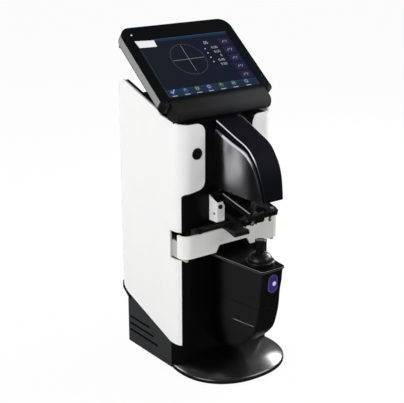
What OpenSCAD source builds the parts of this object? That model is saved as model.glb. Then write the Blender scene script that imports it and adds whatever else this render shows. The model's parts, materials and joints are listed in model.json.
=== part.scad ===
// Automatic lensmeter with a tilting touch display, a sliding lens table and a lens holder.
// Units are millimetres. X points right, the front faces -Y and Z is up from the floor.

/* [Cabinet] */
// Width over the two side shells
body_w = 157; // [150:1:170]
// Depth from the front plane to the rear edge of the shells
body_d = 147.3; // [145:0.1:156]
// Height of the shells' rear top corner
shell_top = 389.5; // [380:0.5:400]
// Wall of the moulded side shells
shell_wall = 2.5; // [2:0.1:3]
// Wall of the black panels and covers
panel_wall = 2.8; // [2.4:0.1:3.2]
// Radius of the vertical front corners
corner_r = 17; // [15:0.5:19]
// Radius of the vertical rear corners
rear_r = 6; // [5:0.5:8]
// Gap at the seams between mouldings
seam = 0.3; // [0.2:0.05:0.5]

/* [Front tabs] */
// Half width left open between the two front tabs
tab_gap = 39.7; // [38:0.1:42]
// Height of the tabs' upper edge
tab_top = 348; // [346:0.5:349]
// Height of the tabs' lower edge
tab_low = 259; // [257:0.5:262]
// Radius of the tabs' inner corners
tab_r = 12; // [8:0.5:14]

/* [Base] */
// Height of the base's underside above the floor
foot_h = 1.5; // [1:0.1:3]
// Radius of a rubber foot
foot_r = 8; // [6:0.5:10]
// Half width of the domed foot plate
plate_a = 81; // [79:0.5:86]
// Half depth of the domed foot plate
plate_b = 74.5; // [70:0.5:80]
// Distance of the plate's centre behind the front plane
plate_y = 2.4; // [0:0.2:4]
// Height of the plate's rim
plate_rim = 7.3; // [6.5:0.1:8]
// Rise of the dome above its rim
plate_rise = 14.9; // [12:0.1:18]
// Depth of the cover seam behind the front plane
seam_y = 25.6; // [24:0.2:28]
// Step from the shells' rear edge forward to the base's rear wall
rear_step = 14.3; // [12:0.1:17]
// Height of a side vent
vent_h = 2; // [1.5:0.1:3]

/* [Display] */
// Distance of the display hinge behind the front plane
hinge_y = 18.5; // [18.5:0.1:19.5]
// Height of the display hinge
hinge_z = 360.5; // [360:0.5:362]
// Radius of the chin that hides the hinge
chin_r = 11; // [10.8:0.1:11.2]
// Tilt of the display from the horizontal
tilt = 38.4; // [34:0.2:44]
// Overhang of the display beyond each side of the cabinet
display_over = 12.5; // [11:0.5:15]
// Distance from the hinge to the display's upper edge
display_l = 144; // [140:1:148]
// Width of the bezel beside the screen window
window_side = 14; // [12.5:0.1:15]
// Height of the screen window
window_h = 102; // [98:0.5:106]
// Distance from the hinge to the window's lower edge
window_u = 18.3; // [17:0.1:20]
// Depth of the grey side frame
band_t = 12; // [11:0.2:12.6]
// Depth of the rear case behind the side frame
back_t = 5.4; // [5:0.1:6]

/* [Optics housings] */
// Distance of the measuring axis in front of the front plane
axis_y = 67; // [66:0.5:68]
// Underside of the upper housing
head_z = 258.5; // [257:0.5:260]
// Reach of the upper housing in front of the measuring axis
head_over = 25.6; // [24:0.2:27]
// Half width of the upper housing at its shoulder
head_w = 24; // [23:0.2:25.5]
// Half width of the upper housing's lid
lid_w = 20; // [19:0.2:21]
// Top of the lower housing
low_z = 167.5; // [166:0.5:169]
// Reach of the lower housing in front of the measuring axis
low_over = 27.6; // [26:0.2:29]
// Half width of the lower housing at its front
low_nose = 18.7; // [17.5:0.1:20]
// Half width of the lower housing at the front panel
low_root = 29; // [27:0.5:31]
// Thickness of the lower housing's top plate
cap_t = 3; // [2:0.1:4]
// Height of the lens rest's tip
rest_z = 200; // [198:0.5:202]
// Outer radius of the lens rest's tip
rest_tip_r = 7.6; // [7:0.1:8]
// Radius of the lens rest's bell
rest_bell_r = 16.5; // [15.5:0.1:17]
// Radius of the ring under the lens rest
rest_ring_r = 19.5; // [18.5:0.1:20]

/* [Lens table] */
// Half width of the lens table
table_w = 82.2; // [81.8:0.1:84]
// Distance of the table's front face in front of the front plane
table_y = 11.2; // [11:0.1:13]
// Lower edge of the lens table
table_low = 171.5; // [171:0.5:174]
// Upper edge of the lens table
table_top = 203; // [202:0.5:204]
// Wall of the lens table
table_wall = 2.8; // [2.4:0.1:3.2]
// Height of the rail's top behind the table
rail_top = 209; // [208:0.5:210]
// Lower edge of the side slots
slot_low = 165; // [164:0.5:166]
// Upper edge of the side slots
slot_top = 204; // [203.5:0.5:206]
// Reach of the nose pad in front of the table
nose_l = 27.8; // [24:0.2:28]
// Width of the nose pad
nose_w = 24; // [20:0.5:26]
// Sideways place of the nose pad at rest
nose_x = -7; // [-10:0.5:4]

/* [Lens holder] */
// Distance of the holder's pivot in front of the front plane
arm_y = 7; // [6.5:0.1:7.5]
// Height of the holder's pivot
arm_z = 251.5; // [251:0.1:252]
// Half width of the holder plate
arm_w = 22.6; // [21.5:0.1:23]
// Length of the holder plate from its pivot
arm_l = 71; // [69:0.5:72]
// Slope of the holder plate at rest
arm_slope = 13.1; // [12:0.1:13.4]
// Thickness of the holder plate
arm_t = 6.6; // [5.5:0.1:7]
// Radius of the holder's pivot pin
arm_pin_r = 2.5; // [2:0.1:3]
// Height of the marker arm's pivot
marker_z = 227; // [226:0.5:228]
// Distance of the marker arm's pivot in front of the front plane
marker_y = 10; // [9.5:0.1:10.5]
// Reach of the marker arm from its pivot
marker_l = 39; // [37:0.5:39.5]

/* [Controls] */
// Width of the read button
read_w = 15; // [13:0.5:16]
// Height of the read button
read_h = 25; // [22:0.5:26]
// Height of the read button's centre
read_z = 147; // [145:0.5:148]
// Radius of the round button on the left tab
side_button_r = 7.7; // [6:0.1:8.5]
// Height of the round button's centre
side_button_z = 309.5; // [305:0.5:314]
// Distance of the round button's centre from the middle
side_button_x = 52.6; // [50:0.2:58]

/* [Hidden] */
$fn = 48;
eps = 0.01;
hub_fit = 0.05;
plate_lip = 0.9;
low_l = axis_y + low_over;
head_l = axis_y + head_over;
base_d = body_d - rear_step;
display_w = body_w + 2 * display_over;
window_w = display_w - 2 * window_side;
origin_d = (body_d - low_l - plate_lip) / 2;
panel_in = shell_wall + seam + panel_wall;
half_w = body_w / 2;
shell_slope = 18.6;
shell_low_slope = 19.6;
tip_y = 15;
tip_z = 40.5;
nose_edge = 4.3;
panel_foot = 6;
pan_floor = 2.5;
inner_w = half_w - shell_wall - seam;
deck_y = body_d - 49.3;
deck_z = 350;
trough_z = 345.5;
trough_y = 33;
rail_w = 6.6;
rear_low = tip_z + (body_d - tip_y - 12) * tan(shell_low_slope) + 7.66;
brow_y = 45;
brow_z = 356;

function unit(v) = v / norm(v);
function turn(a) = a > 180 ? a - 360 : a <= -180 ? a + 360 : a;
function corner_points(p, q, s, r, n) =
    let (
        a = unit(p - q),
        b = unit(s - q),
        half = acos(a * b) / 2,
        c = q + unit(a + b) * r / sin(half),
        from = q + a * r / tan(half) - c,
        to = q + b * r / tan(half) - c,
        start = atan2(from.y, from.x),
        sweep = turn(atan2(to.y, to.x) - start)
    )
    [for (i = [0:n]) c + r * [cos(start + sweep * i / n), sin(start + sweep * i / n)]];

// An outline whose corners, given as [x, y, radius], are rounded.
function rounded(pts, n = 6) = [
    for (i = [0:len(pts) - 1])
        let (
            k = len(pts),
            p = [pts[(i + k - 1) % k].x, pts[(i + k - 1) % k].y],
            q = [pts[i].x, pts[i].y],
            s = [pts[(i + 1) % k].x, pts[(i + 1) % k].y]
        )
        each (pts[i].z > 0 ? corner_points(p, q, s, pts[i].z, n) : [q])
];

function mix(table, x, i = 0) =
    i >= len(table) - 2 || x <= table[i + 1][0]
        ? let (t = (x - table[i][0]) / (table[i + 1][0] - table[i][0]))
          table[i][1] + t * (table[i + 1][1] - table[i][1])
        : mix(table, x, i + 1);

module place() translate([0, -origin_d, 0]) children();
module both() {
    children();
    mirror([1, 0, 0]) children();
}

function flip(rings) = [for (r = rings) [for (i = [len(r) - 1:-1:0]) r[i]]];

// A solid skinned over rings of points, each with the same count.
module loft(rings) {
    k = len(rings[0]);
    m = len(rings);
    polyhedron(
        points = [for (r = rings) each r],
        faces = concat(
            [[for (i = [0:k - 1]) i]],
            [for (j = [0:m - 2]) each [for (i = [0:k - 1])
                each [
                    [j * k + i, (j + 1) * k + i, (j + 1) * k + (i + 1) % k],
                    [j * k + i, (j + 1) * k + (i + 1) % k, j * k + (i + 1) % k]
                ]]],
            [[for (i = [k - 1:-1:0]) (m - 1) * k + i]]
        ),
        convexity = 6
    );
}

// A shell between two skins that share a rim at the first ring, open at the last one if it runs through.
module hollow(outer, inner, through) {
    k = len(outer[0]);
    m = len(outer);
    n = len(inner);
    b = m * k;
    polyhedron(
        points = [for (r = concat(outer, inner)) each r],
        faces = concat(
            [for (i = [0:k - 1]) each [[i, (i + 1) % k, b + (i + 1) % k], [i, b + (i + 1) % k, b + i]]],
            [for (j = [0:m - 2], i = [0:k - 1]) each [
                [j * k + i, (j + 1) * k + i, (j + 1) * k + (i + 1) % k],
                [j * k + i, (j + 1) * k + (i + 1) % k, j * k + (i + 1) % k]
            ]],
            [for (j = [0:n - 2], i = [0:k - 1]) each [
                [b + j * k + i, b + (j + 1) * k + (i + 1) % k, b + (j + 1) * k + i],
                [b + j * k + i, b + j * k + (i + 1) % k, b + (j + 1) * k + (i + 1) % k]
            ]],
            through
                ? [for (i = [0:k - 1]) let (e = (m - 1) * k, g = b + (n - 1) * k) each [
                    [e + i, g + (i + 1) % k, e + (i + 1) % k],
                    [e + i, g + i, g + (i + 1) % k]
                  ]]
                : [
                    [for (i = [k - 1:-1:0]) (m - 1) * k + i],
                    [for (i = [0:k - 1]) b + (n - 1) * k + i]
                  ]
        ),
        convexity = 6
    );
}

// Draws an outline given as [depth, height] and extrudes it over a span of X.
module side_prism(pts, x0, x1)
    translate([x0, 0, 0]) rotate([90, 0, 90]) linear_extrude(x1 - x0) polygon(pts);

// Draws an outline given as [x, height] and extrudes it over a span of depth.
module front_prism(pts, y0, y1)
    translate([0, y1, 0]) rotate([90, 0, 0]) linear_extrude(y1 - y0) polygon(pts);

module x_rod(r, x0, x1, y, z) translate([x0, y, z]) rotate([0, 90, 0]) cylinder(r = r, h = x1 - x0);
module y_rod(r, y0, y1, x, z) translate([x, y0, z]) rotate([-90, 0, 0]) cylinder(r = r, h = y1 - y0);
module z_rod(r, z0, z1, x, y) translate([x, y, z0]) cylinder(r = r, h = z1 - z0);
module span(p, q) translate(p) cube(q - p);

// Plan of the cabinet, drawn smaller by an inset on every side.
module plan(inset = 0) {
    w = half_w - inset;
    translate([-w, corner_r]) square([2 * w, body_d - corner_r - rear_r]);
    translate([corner_r - half_w, inset]) square([2 * (half_w - corner_r), body_d - 2 * inset]);
    translate([rear_r - half_w, corner_r]) square([2 * (half_w - rear_r), body_d - inset - corner_r]);
    for (s = [-1, 1]) {
        translate([s * (half_w - corner_r), corner_r]) circle(r = corner_r - inset, $fn = 96);
        translate([s * (half_w - rear_r), body_d - rear_r]) circle(r = max(rear_r - inset, 0.5));
    }
}

module plan_band(from, to) difference() {
    plan(from);
    plan(to);
}

// Side view of a shell, grown by a gap where another moulding meets it.
function shell_side(g = 0) =
    let (
        top_y = body_d - 14,
        run = top_y - brow_y,
        low_run = body_d - tip_y - 12
    )
    rounded([
        [body_d + g, shell_top - 7 + g, 5],
        [top_y, shell_top + g, 5],
        [brow_y + 7, shell_top - (run - 7) * tan(shell_slope) + g, 8],
        [brow_y, brow_z + g, 8],
        [-2 - g, tab_top + g, 0],
        [-2 - g, tip_z - g + 8, 0],
        [2, tip_z - g, 9],
        [tip_y + 12, tip_z - g, 9],
        [body_d + g, tip_z - g + low_run * tan(shell_low_slope), 26]
    ], 8);

// Front view of the left tab and of the strip beside the corner.
function tab_front(g = 0) =
    let (edge = half_w - nose_edge)
    rounded([
        [-half_w - 1, 0, 0],
        [-edge + g, 0, 0],
        [-edge + g, tab_low - 3 - g, 5],
        [-tab_gap + g, tab_low + 2 - g, tab_r + g],
        [-tab_gap + g, tab_top + g, tab_r + g],
        [-half_w - 1, tab_top + 2 + g, 0]
    ], 8);

// The region that the left shell covers.
module shell_region(g = 0) {
    intersection() {
        side_prism(shell_side(g), -half_w - 1, 0);
        union() {
            front_prism(tab_front(g), -1, corner_r);
            span([-half_w - 1, corner_r * 0.7, 0], [-half_w + corner_r, body_d + 1, shell_top + 5]);
        }
    }
}

module side_slot(grow = 0)
    span([-half_w - 1, -1, slot_low - grow], [-half_w + 8, seam_y, slot_top + grow]);

module shell() {
    difference() {
        intersection() {
            linear_extrude(shell_top + 5) plan_band(0, shell_wall);
            shell_region();
            union() {
                span([-half_w - 1, -1, 0], [0, body_d - rear_r - 1, shell_top + 5]);
                span([-half_w - 1, -1, 0], [-half_w + rear_r + 2, body_d + 1, shell_top + 5]);
            }
        }
        side_slot();
        children();
    }
    // Screw bosses on the shell's inside
    for (z = [120, 240, 330])
        x_rod(3.5, -half_w + shell_wall - eps, -half_w + shell_wall + 7, 90, z);
}

module left_shell() place() color("white") {
    shell() y_rod(side_button_r + hub_fit, -1, 5, -side_button_x, side_button_z);
}

module right_shell() place() color("white") mirror([1, 0, 0]) shell();

function dome_z(s) = plate_rim + plate_rise * (1 - pow(s, 3.6));
function oval(s, a) = [
    plate_a * s * sign(cos(a)) * pow(abs(cos(a)), 2 / 2.22),
    plate_y + plate_b * s * sign(sin(a)) * pow(abs(sin(a)), 2 / 2.22)
];
function oval_ring(s, z) = [
    for (i = [0:47]) let (p = oval(s, i * 7.5)) [p.x, p.y, z]
];

module base_plate() place() color("#1b1b1e") difference() {
    loft(concat(
        [oval_ring(0.985, foot_h), oval_ring(1, foot_h + 1.2), oval_ring(1, plate_rim - 0.8)],
        [for (s = [0.985, 0.94, 0.88, 0.8, 0.68, 0.52, 0.3, 0.08]) oval_ring(s, dome_z(s))]
    ));
    span([-plate_a - 1, seam_y - eps, 0], [plate_a + 1, plate_y + plate_b + 1, 40]);
    translate([0, 0, panel_foot]) linear_extrude(40) plan(-seam);
    for (x = [-1, 1]) z_rod(foot_r + 0.1, 0, foot_h + 1.5, x * plate_a * 0.6, plate_y - plate_b * 0.5);
    for (x = [-1, 1]) z_rod(2.2, 0, 40, x * 40, 14);
}

module rubber_feet() place() color("#202020") {
    for (x = [-1, 1]) {
        z_rod(foot_r, 0, foot_h + 1.5, x * plate_a * 0.6, plate_y - plate_b * 0.5);
        z_rod(foot_r, 0, foot_h + 1.5, x * (half_w - 16), base_d - 18);
    }
}

// Lower rear part with the side vents, the inlet and the data ports.
module base_pan() place() color("#4a4a4e") {
    difference() {
        intersection() {
            translate([0, 0, foot_h]) linear_extrude(120) union() {
                plan_band(0, panel_wall);
                translate([-half_w + panel_wall - eps, base_d - panel_wall])
                    square([body_w - 2 * panel_wall + 2 * eps, panel_wall]);
            }
            span([-half_w - 1, seam_y, 0], [half_w + 1, base_d, 95]);
        }
        both() intersection() {
            side_prism(shell_side(seam), -half_w - 1, 0);
            span([-half_w - 1, 0, tip_z], [-half_w + panel_wall + 1, body_d, 140]);
        }
        for (i = [0:2]) {
            x0 = -half_w - 1;
            vent_z = 40.5;
            for (m = [0, 1]) mirror([m, 0, 0])
                span([x0, base_d - 54 - 10 * i, vent_z - 10.4 * i],
                    [x0 + 6, base_d - 4, vent_z + vent_h - 10.4 * i]);
        }
        span([-half_w, base_d - 9, rear_low - 22], [half_w, base_d + 1, 140]);
        span([-56, base_d - 4, 20], [-56 + 28.4, base_d + 1, 20 + 20.4]);
        span([rocker_x - 6.7, base_d - 4, rocker_z - 9.7], [rocker_x + 6.7, base_d + 1, rocker_z + 9.7]);
        span([4, base_d - 4, 17.8], [52, base_d + 1, 42.2]);
    }
    difference() {
        translate([0, 0, foot_h]) linear_extrude(pan_floor) intersection() {
            plan(panel_wall - eps);
            translate([-half_w, seam_y]) square([body_w, base_d - panel_wall - seam_y + eps]);
        }
        for (x = [-1, 1]) z_rod(foot_r + 0.1, 0, foot_h + 1.5, x * (half_w - 16), base_d - 18);
        for (i = [0:6]) span([-30, 50 + 8 * i, 0], [30, 53 + 8 * i, 9]);
    }
}

// Steel column that carries the optics, the display and the boards.
module chassis_frame() place() color("#9a9da0") {
    floor_z = foot_h + pan_floor;
    difference() {
        union() {
            span([-64, 30, floor_z], [64, base_d - 9, floor_z + 2]);
            span([-67, 66, floor_z + 2 - eps], [67, 68, trough_z - 6]);
            for (x = [-60, 58]) side_prism([
                [30, floor_z + 1.9], [66.1, floor_z + 1.9], [66.1, 150]
            ], x, x + 2);
            span([-60, 40, trough_z - 8], [60, 66.1, trough_z - 6]);
        }
        for (z = [60, 120, 220, 280]) span([-22, 60, z], [22, 70, z + 34]);
    }
}

// Black front of the cabinet, between and below the two white tabs.
module front_panel() place() color("#151517") {
    difference() {
        intersection() {
            translate([0, 0, panel_foot]) linear_extrude(trough_z - panel_foot)
                plan_band(0, panel_in);
            span([-half_w - 1, -1, 0], [half_w + 1, seam_y - seam, trough_z]);
        }
        both() intersection() {
            shell_region(seam);
            linear_extrude(shell_top) plan_band(-1, shell_wall + seam);
        }
        both() span([-half_w - 1, -1, slot_low - 0.5], [-half_w + 11, seam_y + 1, slot_top + 0.5]);
        y_rod(side_button_r - 2.2 + seam, -1, 8, -side_button_x, side_button_z);
        y_rod(9, -1, 8, 0, head_z + 40);
        y_rod(9, -1, 8, 0, low_z - 60);
    }
}

// Sloping top between the shells, with a trough for the display's chin.
module top_cover() place() color("#101012") {
    drop = 1.5;
    top_at = shell_top - (body_d - 14 - deck_y) * tan(shell_slope) - drop;
    brow_top = shell_top - (body_d - 14 - 52) * tan(shell_slope) - drop;
    rear_top = shell_top - drop;
    rear_end = body_d - shell_wall - seam;
    rear_in = body_d - 1 - panel_wall - seam;
    section = [
        [0, trough_z], [trough_y, trough_z], [brow_y - 3, brow_z - drop - 4], [52, brow_top],
        [deck_y, top_at], [deck_y, deck_z], [rear_end, deck_z],
        [rear_end, deck_z - panel_wall], [deck_y - panel_wall, deck_z - panel_wall],
        [deck_y - panel_wall, top_at - 4], [53, brow_top - 3.4], [trough_y + 2, trough_z - panel_wall],
        [0, trough_z - panel_wall]
    ];
    cheek = [
        [52, brow_top], [deck_y, top_at], [body_d - 14, rear_top], [rear_end, rear_top - 6],
        [rear_end, deck_z - panel_wall], [rear_in, deck_z - panel_wall], [rear_in, deck_z - 12],
        [60, deck_z - 12], [trough_y + 2, trough_z - panel_wall],
        [brow_y - 3, brow_z - drop - 4]
    ];
    difference() {
        intersection() {
            union() {
                side_prism(section, -inner_w, inner_w);
                both() side_prism(cheek, -inner_w, -inner_w + rail_w);
            }
            linear_extrude(shell_top) union() {
                plan(panel_in);
                intersection() {
                    plan(shell_wall + seam);
                    translate([-half_w, seam_y]) square([body_w, body_d]);
                }
            }
        }
        both() span([-54.5, trough_y - 10.4, trough_z - 4], [-35.5, trough_y + 1, trough_z + 1]);
        for (x = [-18, 18]) z_rod(2, 340, 360, x, 12);
    }
}

// Rear wall between the shells, with a lip over the connectors.
module rear_cover() place() color("#1a1a1c") {
    w = half_w - rear_r - 2 - seam;
    y1 = body_d - 1;
    y0 = y1 - panel_wall;
    lip_w = half_w - 0.6;
    low = rear_low - 21.5;
    difference() {
        union() {
            span([-w, y0, rear_low], [w, y1, deck_z - panel_wall - seam]);
            difference() {
                union() {
                    side_prism(rounded([
                        [y0, rear_low + 1, 0], [y1, rear_low + 1, 0], [body_d - 0.3, rear_low, 0],
                        [body_d - 0.1, rear_low - 10.5, 5], [base_d + seam, low, 0],
                        [base_d - 4, low, 0], [y0, rear_low - 11, 4]
                    ]), -lip_w, lip_w);
                    both() side_prism([
                        [base_d - 9 + seam, low], [base_d, low], [body_d - 3, rear_low - 12],
                        [body_d - 3, rear_low + 8], [base_d - 9 + seam, rear_low - 4]
                    ], -lip_w, -lip_w + panel_wall);
                }
                both() side_prism(shell_side(seam), -half_w - 1, -w);
            }
        }
        for (i = [0:9]) for (s = [-1, 1])
            span([s * 36 - 22, y0 - 1, 150 + 12 * i], [s * 36 + 22, y1 + 1, 153 + 12 * i]);
        both() for (z = screw_rows) {
            y_rod(1.7, y0 - 1, y1 + 1, screw_x, z);
            y_rod(3.2, y1 - 1.5, y1 + 1, screw_x, z);
        }
    }
}

screw_x = -62;
screw_rows = [rear_low + 20, deck_z - 24];
module cover_screws() place() color("#b9bcc0") {
    y1 = body_d - 1;
    both() for (z = screw_rows) difference() {
        union() {
            y_rod(3.1, y1 - 1.5, y1 - 0.2, screw_x, z);
            y_rod(1.65, y1 - 9, y1 - 1.5 + eps, screw_x, z);
        }
        translate([screw_x, y1 - 1, z]) rotate([-90, 0, 0]) cylinder(r = 1.5, h = 2, $fn = 6);
    }
}

// Lid of the upper housing: outer depth and height, inner depth and height, and half width.
lid_line = [[0, 349.5, 0, 338.8, 1], [20, 341.8, 20, 331, 0.985], [40, 333.8, 40, 324.6, 0.955],
    [56, 327.6, 55, 320.3, 0.92], [64, 322.8, 62, 317.3, 0.9], [71, 316, 68, 312.6, 0.875],
    [77, 308, 74.2, 305.8, 0.85], [81.5, 300, 78.7, 298.4, 0.825], [85, 292, 82.2, 290.8, 0.8],
    [88, 282.5, 85.2, 281.6, 0.77], [90.3, 271, 87.6, 270.5, 0.73], [92, 262, 89.3, 261.7, 0.69],
    [92.6, 258.8, 89.9, 258.8, 0.66]];
shoulder = [for (p = lid_line) [p[2], p[3]]];
// Share of the full half width along the upper housing.
nose = [[0, 0.9], [10, 0.92], [24, 0.95], [38, 1.0], [50, 0.985], [66, 0.955], [76, 0.91], [82, 0.86],
    [86.5, 0.8], [89.9, 0.72]];
stations = [0, 4, 8, 14, 26, 38, 50, 60, 68, 74, 78.7, 82.2, 85.2, 87.6, 89];
cell_wall = 2.6;
function reach(d) = d * head_l / 92.6;
function flare(d) = d < 12 ? 10 * pow(1 - d / 12, 2) : 0;

// Section of a housing across its depth, with rounded shoulders and a slight draft.
function arch_ring(d, w, z0, z1, r) =
    let (
        rr = min(r, (z1 - z0) * 0.45, w * 0.45),
        half = [
            [-w + 1.4, z0], [-w + 0.4, z0 + (z1 - z0) * 0.5],
            for (i = [0:4]) [-w + rr - rr * cos(i * 22.5), z1 - rr + rr * sin(i * 22.5)]
        ],
        k = len(half)
    )
    concat(
        [for (p = half) [p.x, -reach(d), p.y]],
        [for (i = [k - 1:-1:0]) [-half[i].x, -reach(d), half[i].y]]
    );

function head_rings(inset, last) = [
    for (d = stations) if (d <= last)
        arch_ring(d, head_w * mix(nose, d) + flare(d) - inset, head_z + inset,
            mix(shoulder, d + inset) - 0.2 - inset, 3.5 - inset * 0.6)
];

// Moulded nose that holds the light source above the lens.
module head_housing() place() color("#19191b") difference() {
    hollow(flip(head_rings(0, 90)), flip(head_rings(cell_wall, 86)), false);
    translate([0, -axis_y, head_z - 1]) cylinder(r = 12, h = 4);
}

module head_lid() place() color("#232327")
    loft(flip([for (p = lid_line)
        let (
            w = lid_w * 1.1 * p[4],
            out = [-reach(p[0]), p[1]],
            in = [-reach(p[2]), p[3]],
            r = min(1.6, norm(out - in) * 0.4) / norm(out - in),
            e = r * norm(out - in),
            half = [for (q = [[0, 0], [0, 1 - r], [0.3, 1 - r * 0.3], [1, 1]])
                [w - q.x * e, in + (out - in) * q.y]]
        )
        concat(
            [for (i = [0:3]) [-half[i][0], half[i][1].x, half[i][1].y]],
            [for (i = [3:-1:0]) [half[i][0], half[i][1].x, half[i][1].y]]
        )
    ]));

// Reach of the lower housing's front at a height above the floor.
keel = [[33, 24], [36, 32], [40, 39], [47, 49], [54.4, 57.6], [65, 69.8], [77.6, 79.6], [94.3, 85.1],
    [110, 88.6], [132, 90.4], [147.4, 93.2], [164.7, 94.6]];
belly_z = 112;
crease_z = 80;
function keel_at(z) = mix(keel, z) * low_l / 94.6;
function squeeze(z) = z < crease_z ? 0.66 + 0.34 * pow((z - 33) / (crease_z - 33), 0.8) : 1;
function belly_ring(z, inset = 0) =
    let (
        l = keel_at(z) - inset,
        k = squeeze(z),
        nw = low_nose * k - inset,
        rw = low_root * k - inset,
        side = (rw - nw) / l,
        r = min(6, nw * 0.6)
    )
    [for (p = concat(
        [[-rw, -inset], [-rw + side * l * 0.33, -l * 0.33], [-rw + side * l * 0.66, -l * 0.66]],
        [for (i = [0:5]) [-nw + r - r * cos(i * 18), -l + r - r * sin(i * 18)]],
        [for (i = [5:-1:0]) [nw - r + r * cos(i * 18), -l + r - r * sin(i * 18)]],
        [[rw - side * l * 0.66, -l * 0.66], [rw - side * l * 0.33, -l * 0.33], [rw, -inset]]
    )) [p.x, p.y, z]];

function belly_rings(zs, inset = 0) = [for (z = zs) belly_ring(z, inset)];

upper_steps = [belly_z, 120, 132, 140, 147.4, 156, low_z - cap_t];
lower_steps = [belly_z - seam, 104, 94.3, 87, crease_z, 77.6, 71, 65, 60, 54.4, 47, 40, 36, 33];
lower_hollow = [belly_z - seam, 94.3, crease_z, 71, 60, 50, 42, 38];

module read_hole(g) translate([0, 0, read_z]) rotate([90, 0, 0]) linear_extrude(low_l + 5) {
    w = read_w / 2 + g;
    h = read_h / 2 - read_w / 2;
    translate([-w, -h]) square([2 * w, 2 * h]);
    for (s = [-1, 1]) translate([0, s * h]) circle(r = w);
}

module lower_housing() place() color("#2a2a2c") difference() {
    hollow(belly_rings(upper_steps), belly_rings(upper_steps, cell_wall), true);
    intersection() {
        read_hole(seam);
        span([-20, -low_l - 2, 120], [20, -low_l + 12, 170]);
    }
}

module lower_belly() place() color("#303033")
    hollow(flip(belly_rings(lower_steps)), flip(belly_rings(lower_hollow, cell_wall)), false);

module lower_top_plate() place() color("#2c2c2e") difference() {
    translate([0, 0, low_z - cap_t]) linear_extrude(cap_t) polygon(rounded([
        [-low_root - 0.6, 0, 0], [-low_nose - 0.8, -low_l - plate_lip, 5],
        [low_nose + 0.8, -low_l - plate_lip, 5], [low_root + 0.6, 0, 0]
    ]));
    z_rod(rest_bell_r - 5, low_z - cap_t - 1, low_z + 1, 0, -axis_y);
}

module rest_ring() place() color("#343436") translate([0, -axis_y, low_z]) rotate_extrude($fn = 72)
    polygon(rounded([
        [rest_bell_r - 5, 0, 0], [rest_ring_r, 0, 0], [rest_ring_r, 4.4, 1.4],
        [rest_bell_r + 0.4, 5.4, 0.3], [rest_bell_r + 0.4, 3.6, 0], [rest_bell_r - 5, 3.6, 0]
    ]));

// Bell-shaped cone that the lens lies on.
module lens_rest() place() color("#141415") translate([0, -axis_y, low_z + 3.6]) {
    h = rest_z - low_z - 3.6;
    waist = rest_tip_r - 1.6;
    rotate_extrude($fn = 72) polygon(concat(
        [[waist - 2.6, 3.2], [rest_bell_r - 2.4, 0], [rest_bell_r, 0], [rest_bell_r, 2.6]],
        [for (i = [0:8]) let (a = i * 90 / 8)
            [waist + (rest_bell_r - waist) * (1 - sin(a)) , 2.6 + (h - 14) * (1 - cos(a))]],
        [[waist + 0.2, h - 7], [rest_tip_r, h - 3.4], [rest_tip_r, h - 0.6], [rest_tip_r - 0.6, h],
         [rest_tip_r - 2.4, h], [rest_tip_r - 2.4, h - 1.4], [waist - 2.6, h - 4]]
    ));
}

module cover_glass() place() color("#cfe4ee")
    z_rod(rest_tip_r - 2.45, rest_z - 1.3, rest_z - 0.3, 0, -axis_y);

module beam_window() place() color("#cfe4ee")
    z_rod(12 - hub_fit, head_z + 0.6, head_z + 2.6, 0, -axis_y);

module collimator_lens() place() color("#bcd6e4") translate([0, -axis_y, head_z + 14])
    rotate_extrude() polygon(concat(
        [[0, 0], [10.5, 0]],
        [for (i = [0:6]) [10.5 * cos(i * 15), 2 + 4 * sin(i * 15)]]
    ));

module light_source() place() color("#8f9397") {
    difference() {
        union() {
            z_rod(12.5, head_z + cell_wall, head_z + 27, 0, -axis_y);
            span([-12, -axis_y, head_z + cell_wall], [12, -3, head_z + cell_wall + 3]);
        }
        z_rod(10.5 + hub_fit, head_z, head_z + 25, 0, -axis_y);
    }
}

module relay_lens() place() color("#bcd6e4") {
    top = low_z - cap_t;
    difference() {
        union() {
            z_rod(10.5, top - 26, top, 0, -axis_y);
            z_rod(15, top - 3, top, 0, -axis_y);
        }
        z_rod(8, top - 30, low_z + 1, 0, -axis_y);
    }
    z_rod(8 + eps, top - 14, top - 9, 0, -axis_y);
}

module camera_sensor() place() color("#2c6b3f") {
    z0 = low_z - cap_t - 26;
    span([-13, -axis_y - 12, z0 - 3.6], [13, -cell_wall - 0.3, z0 - 2]);
    span([-6, -axis_y - 6, z0 - 2 - eps], [6, -axis_y + 6, z0]);
}

// White blocks on the panel that carry the marker's pivot, below the holder's ears.
block_out = 32.5;
block_in = 20.5;
block_low = 216;
block_y = 17.5;
ear_in = arm_w + 0.5;
module pivot_blocks() place() color("#e8e8e6") both() difference() {
    union() {
        side_prism([
            [0, block_low], [0, arm_z - 1], [-block_y, arm_z - 8], [-block_y, block_low + 2],
            [-block_y + 2, block_low]
        ], -block_out, -ear_in);
        side_prism([
            [0, block_low], [0, arm_z - 8.5], [-10, arm_z - 8.5], [-block_y, arm_z - 13],
            [-block_y, block_low + 2], [-block_y + 2, block_low]
        ], -ear_in - eps, -block_in);
    }
    x_rod(2 + hub_fit, -block_out - 1, -block_in + 1, -marker_y, marker_z);
    y_rod(1.8, -block_y - 1, -block_y + 8, -block_out + 4.4, arm_z - 14);
}

module yoke_ears() place() color("#161617") both() difference() {
    side_prism([
        [0, arm_z - 0.8], [0, arm_z + 5.5], [-12, arm_z + 5.5], [-block_y + 0.2, arm_z + 1],
        [-block_y + 0.2, arm_z - 7.6]
    ], -block_out, -ear_in);
    x_rod(arm_pin_r + hub_fit, -block_out - 1, -ear_in + 1, -arm_y, arm_z);
}

module holder_pivot_pin() place() color("#c4c7ca")
    x_rod(arm_pin_r, -block_out + 0.5, block_out - 0.5, -arm_y, arm_z);

module marker_pivot_pin() place() color("#c4c7ca") both()
    x_rod(2, -block_out + 0.5, -block_in + 5, -marker_y, marker_z);

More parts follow.
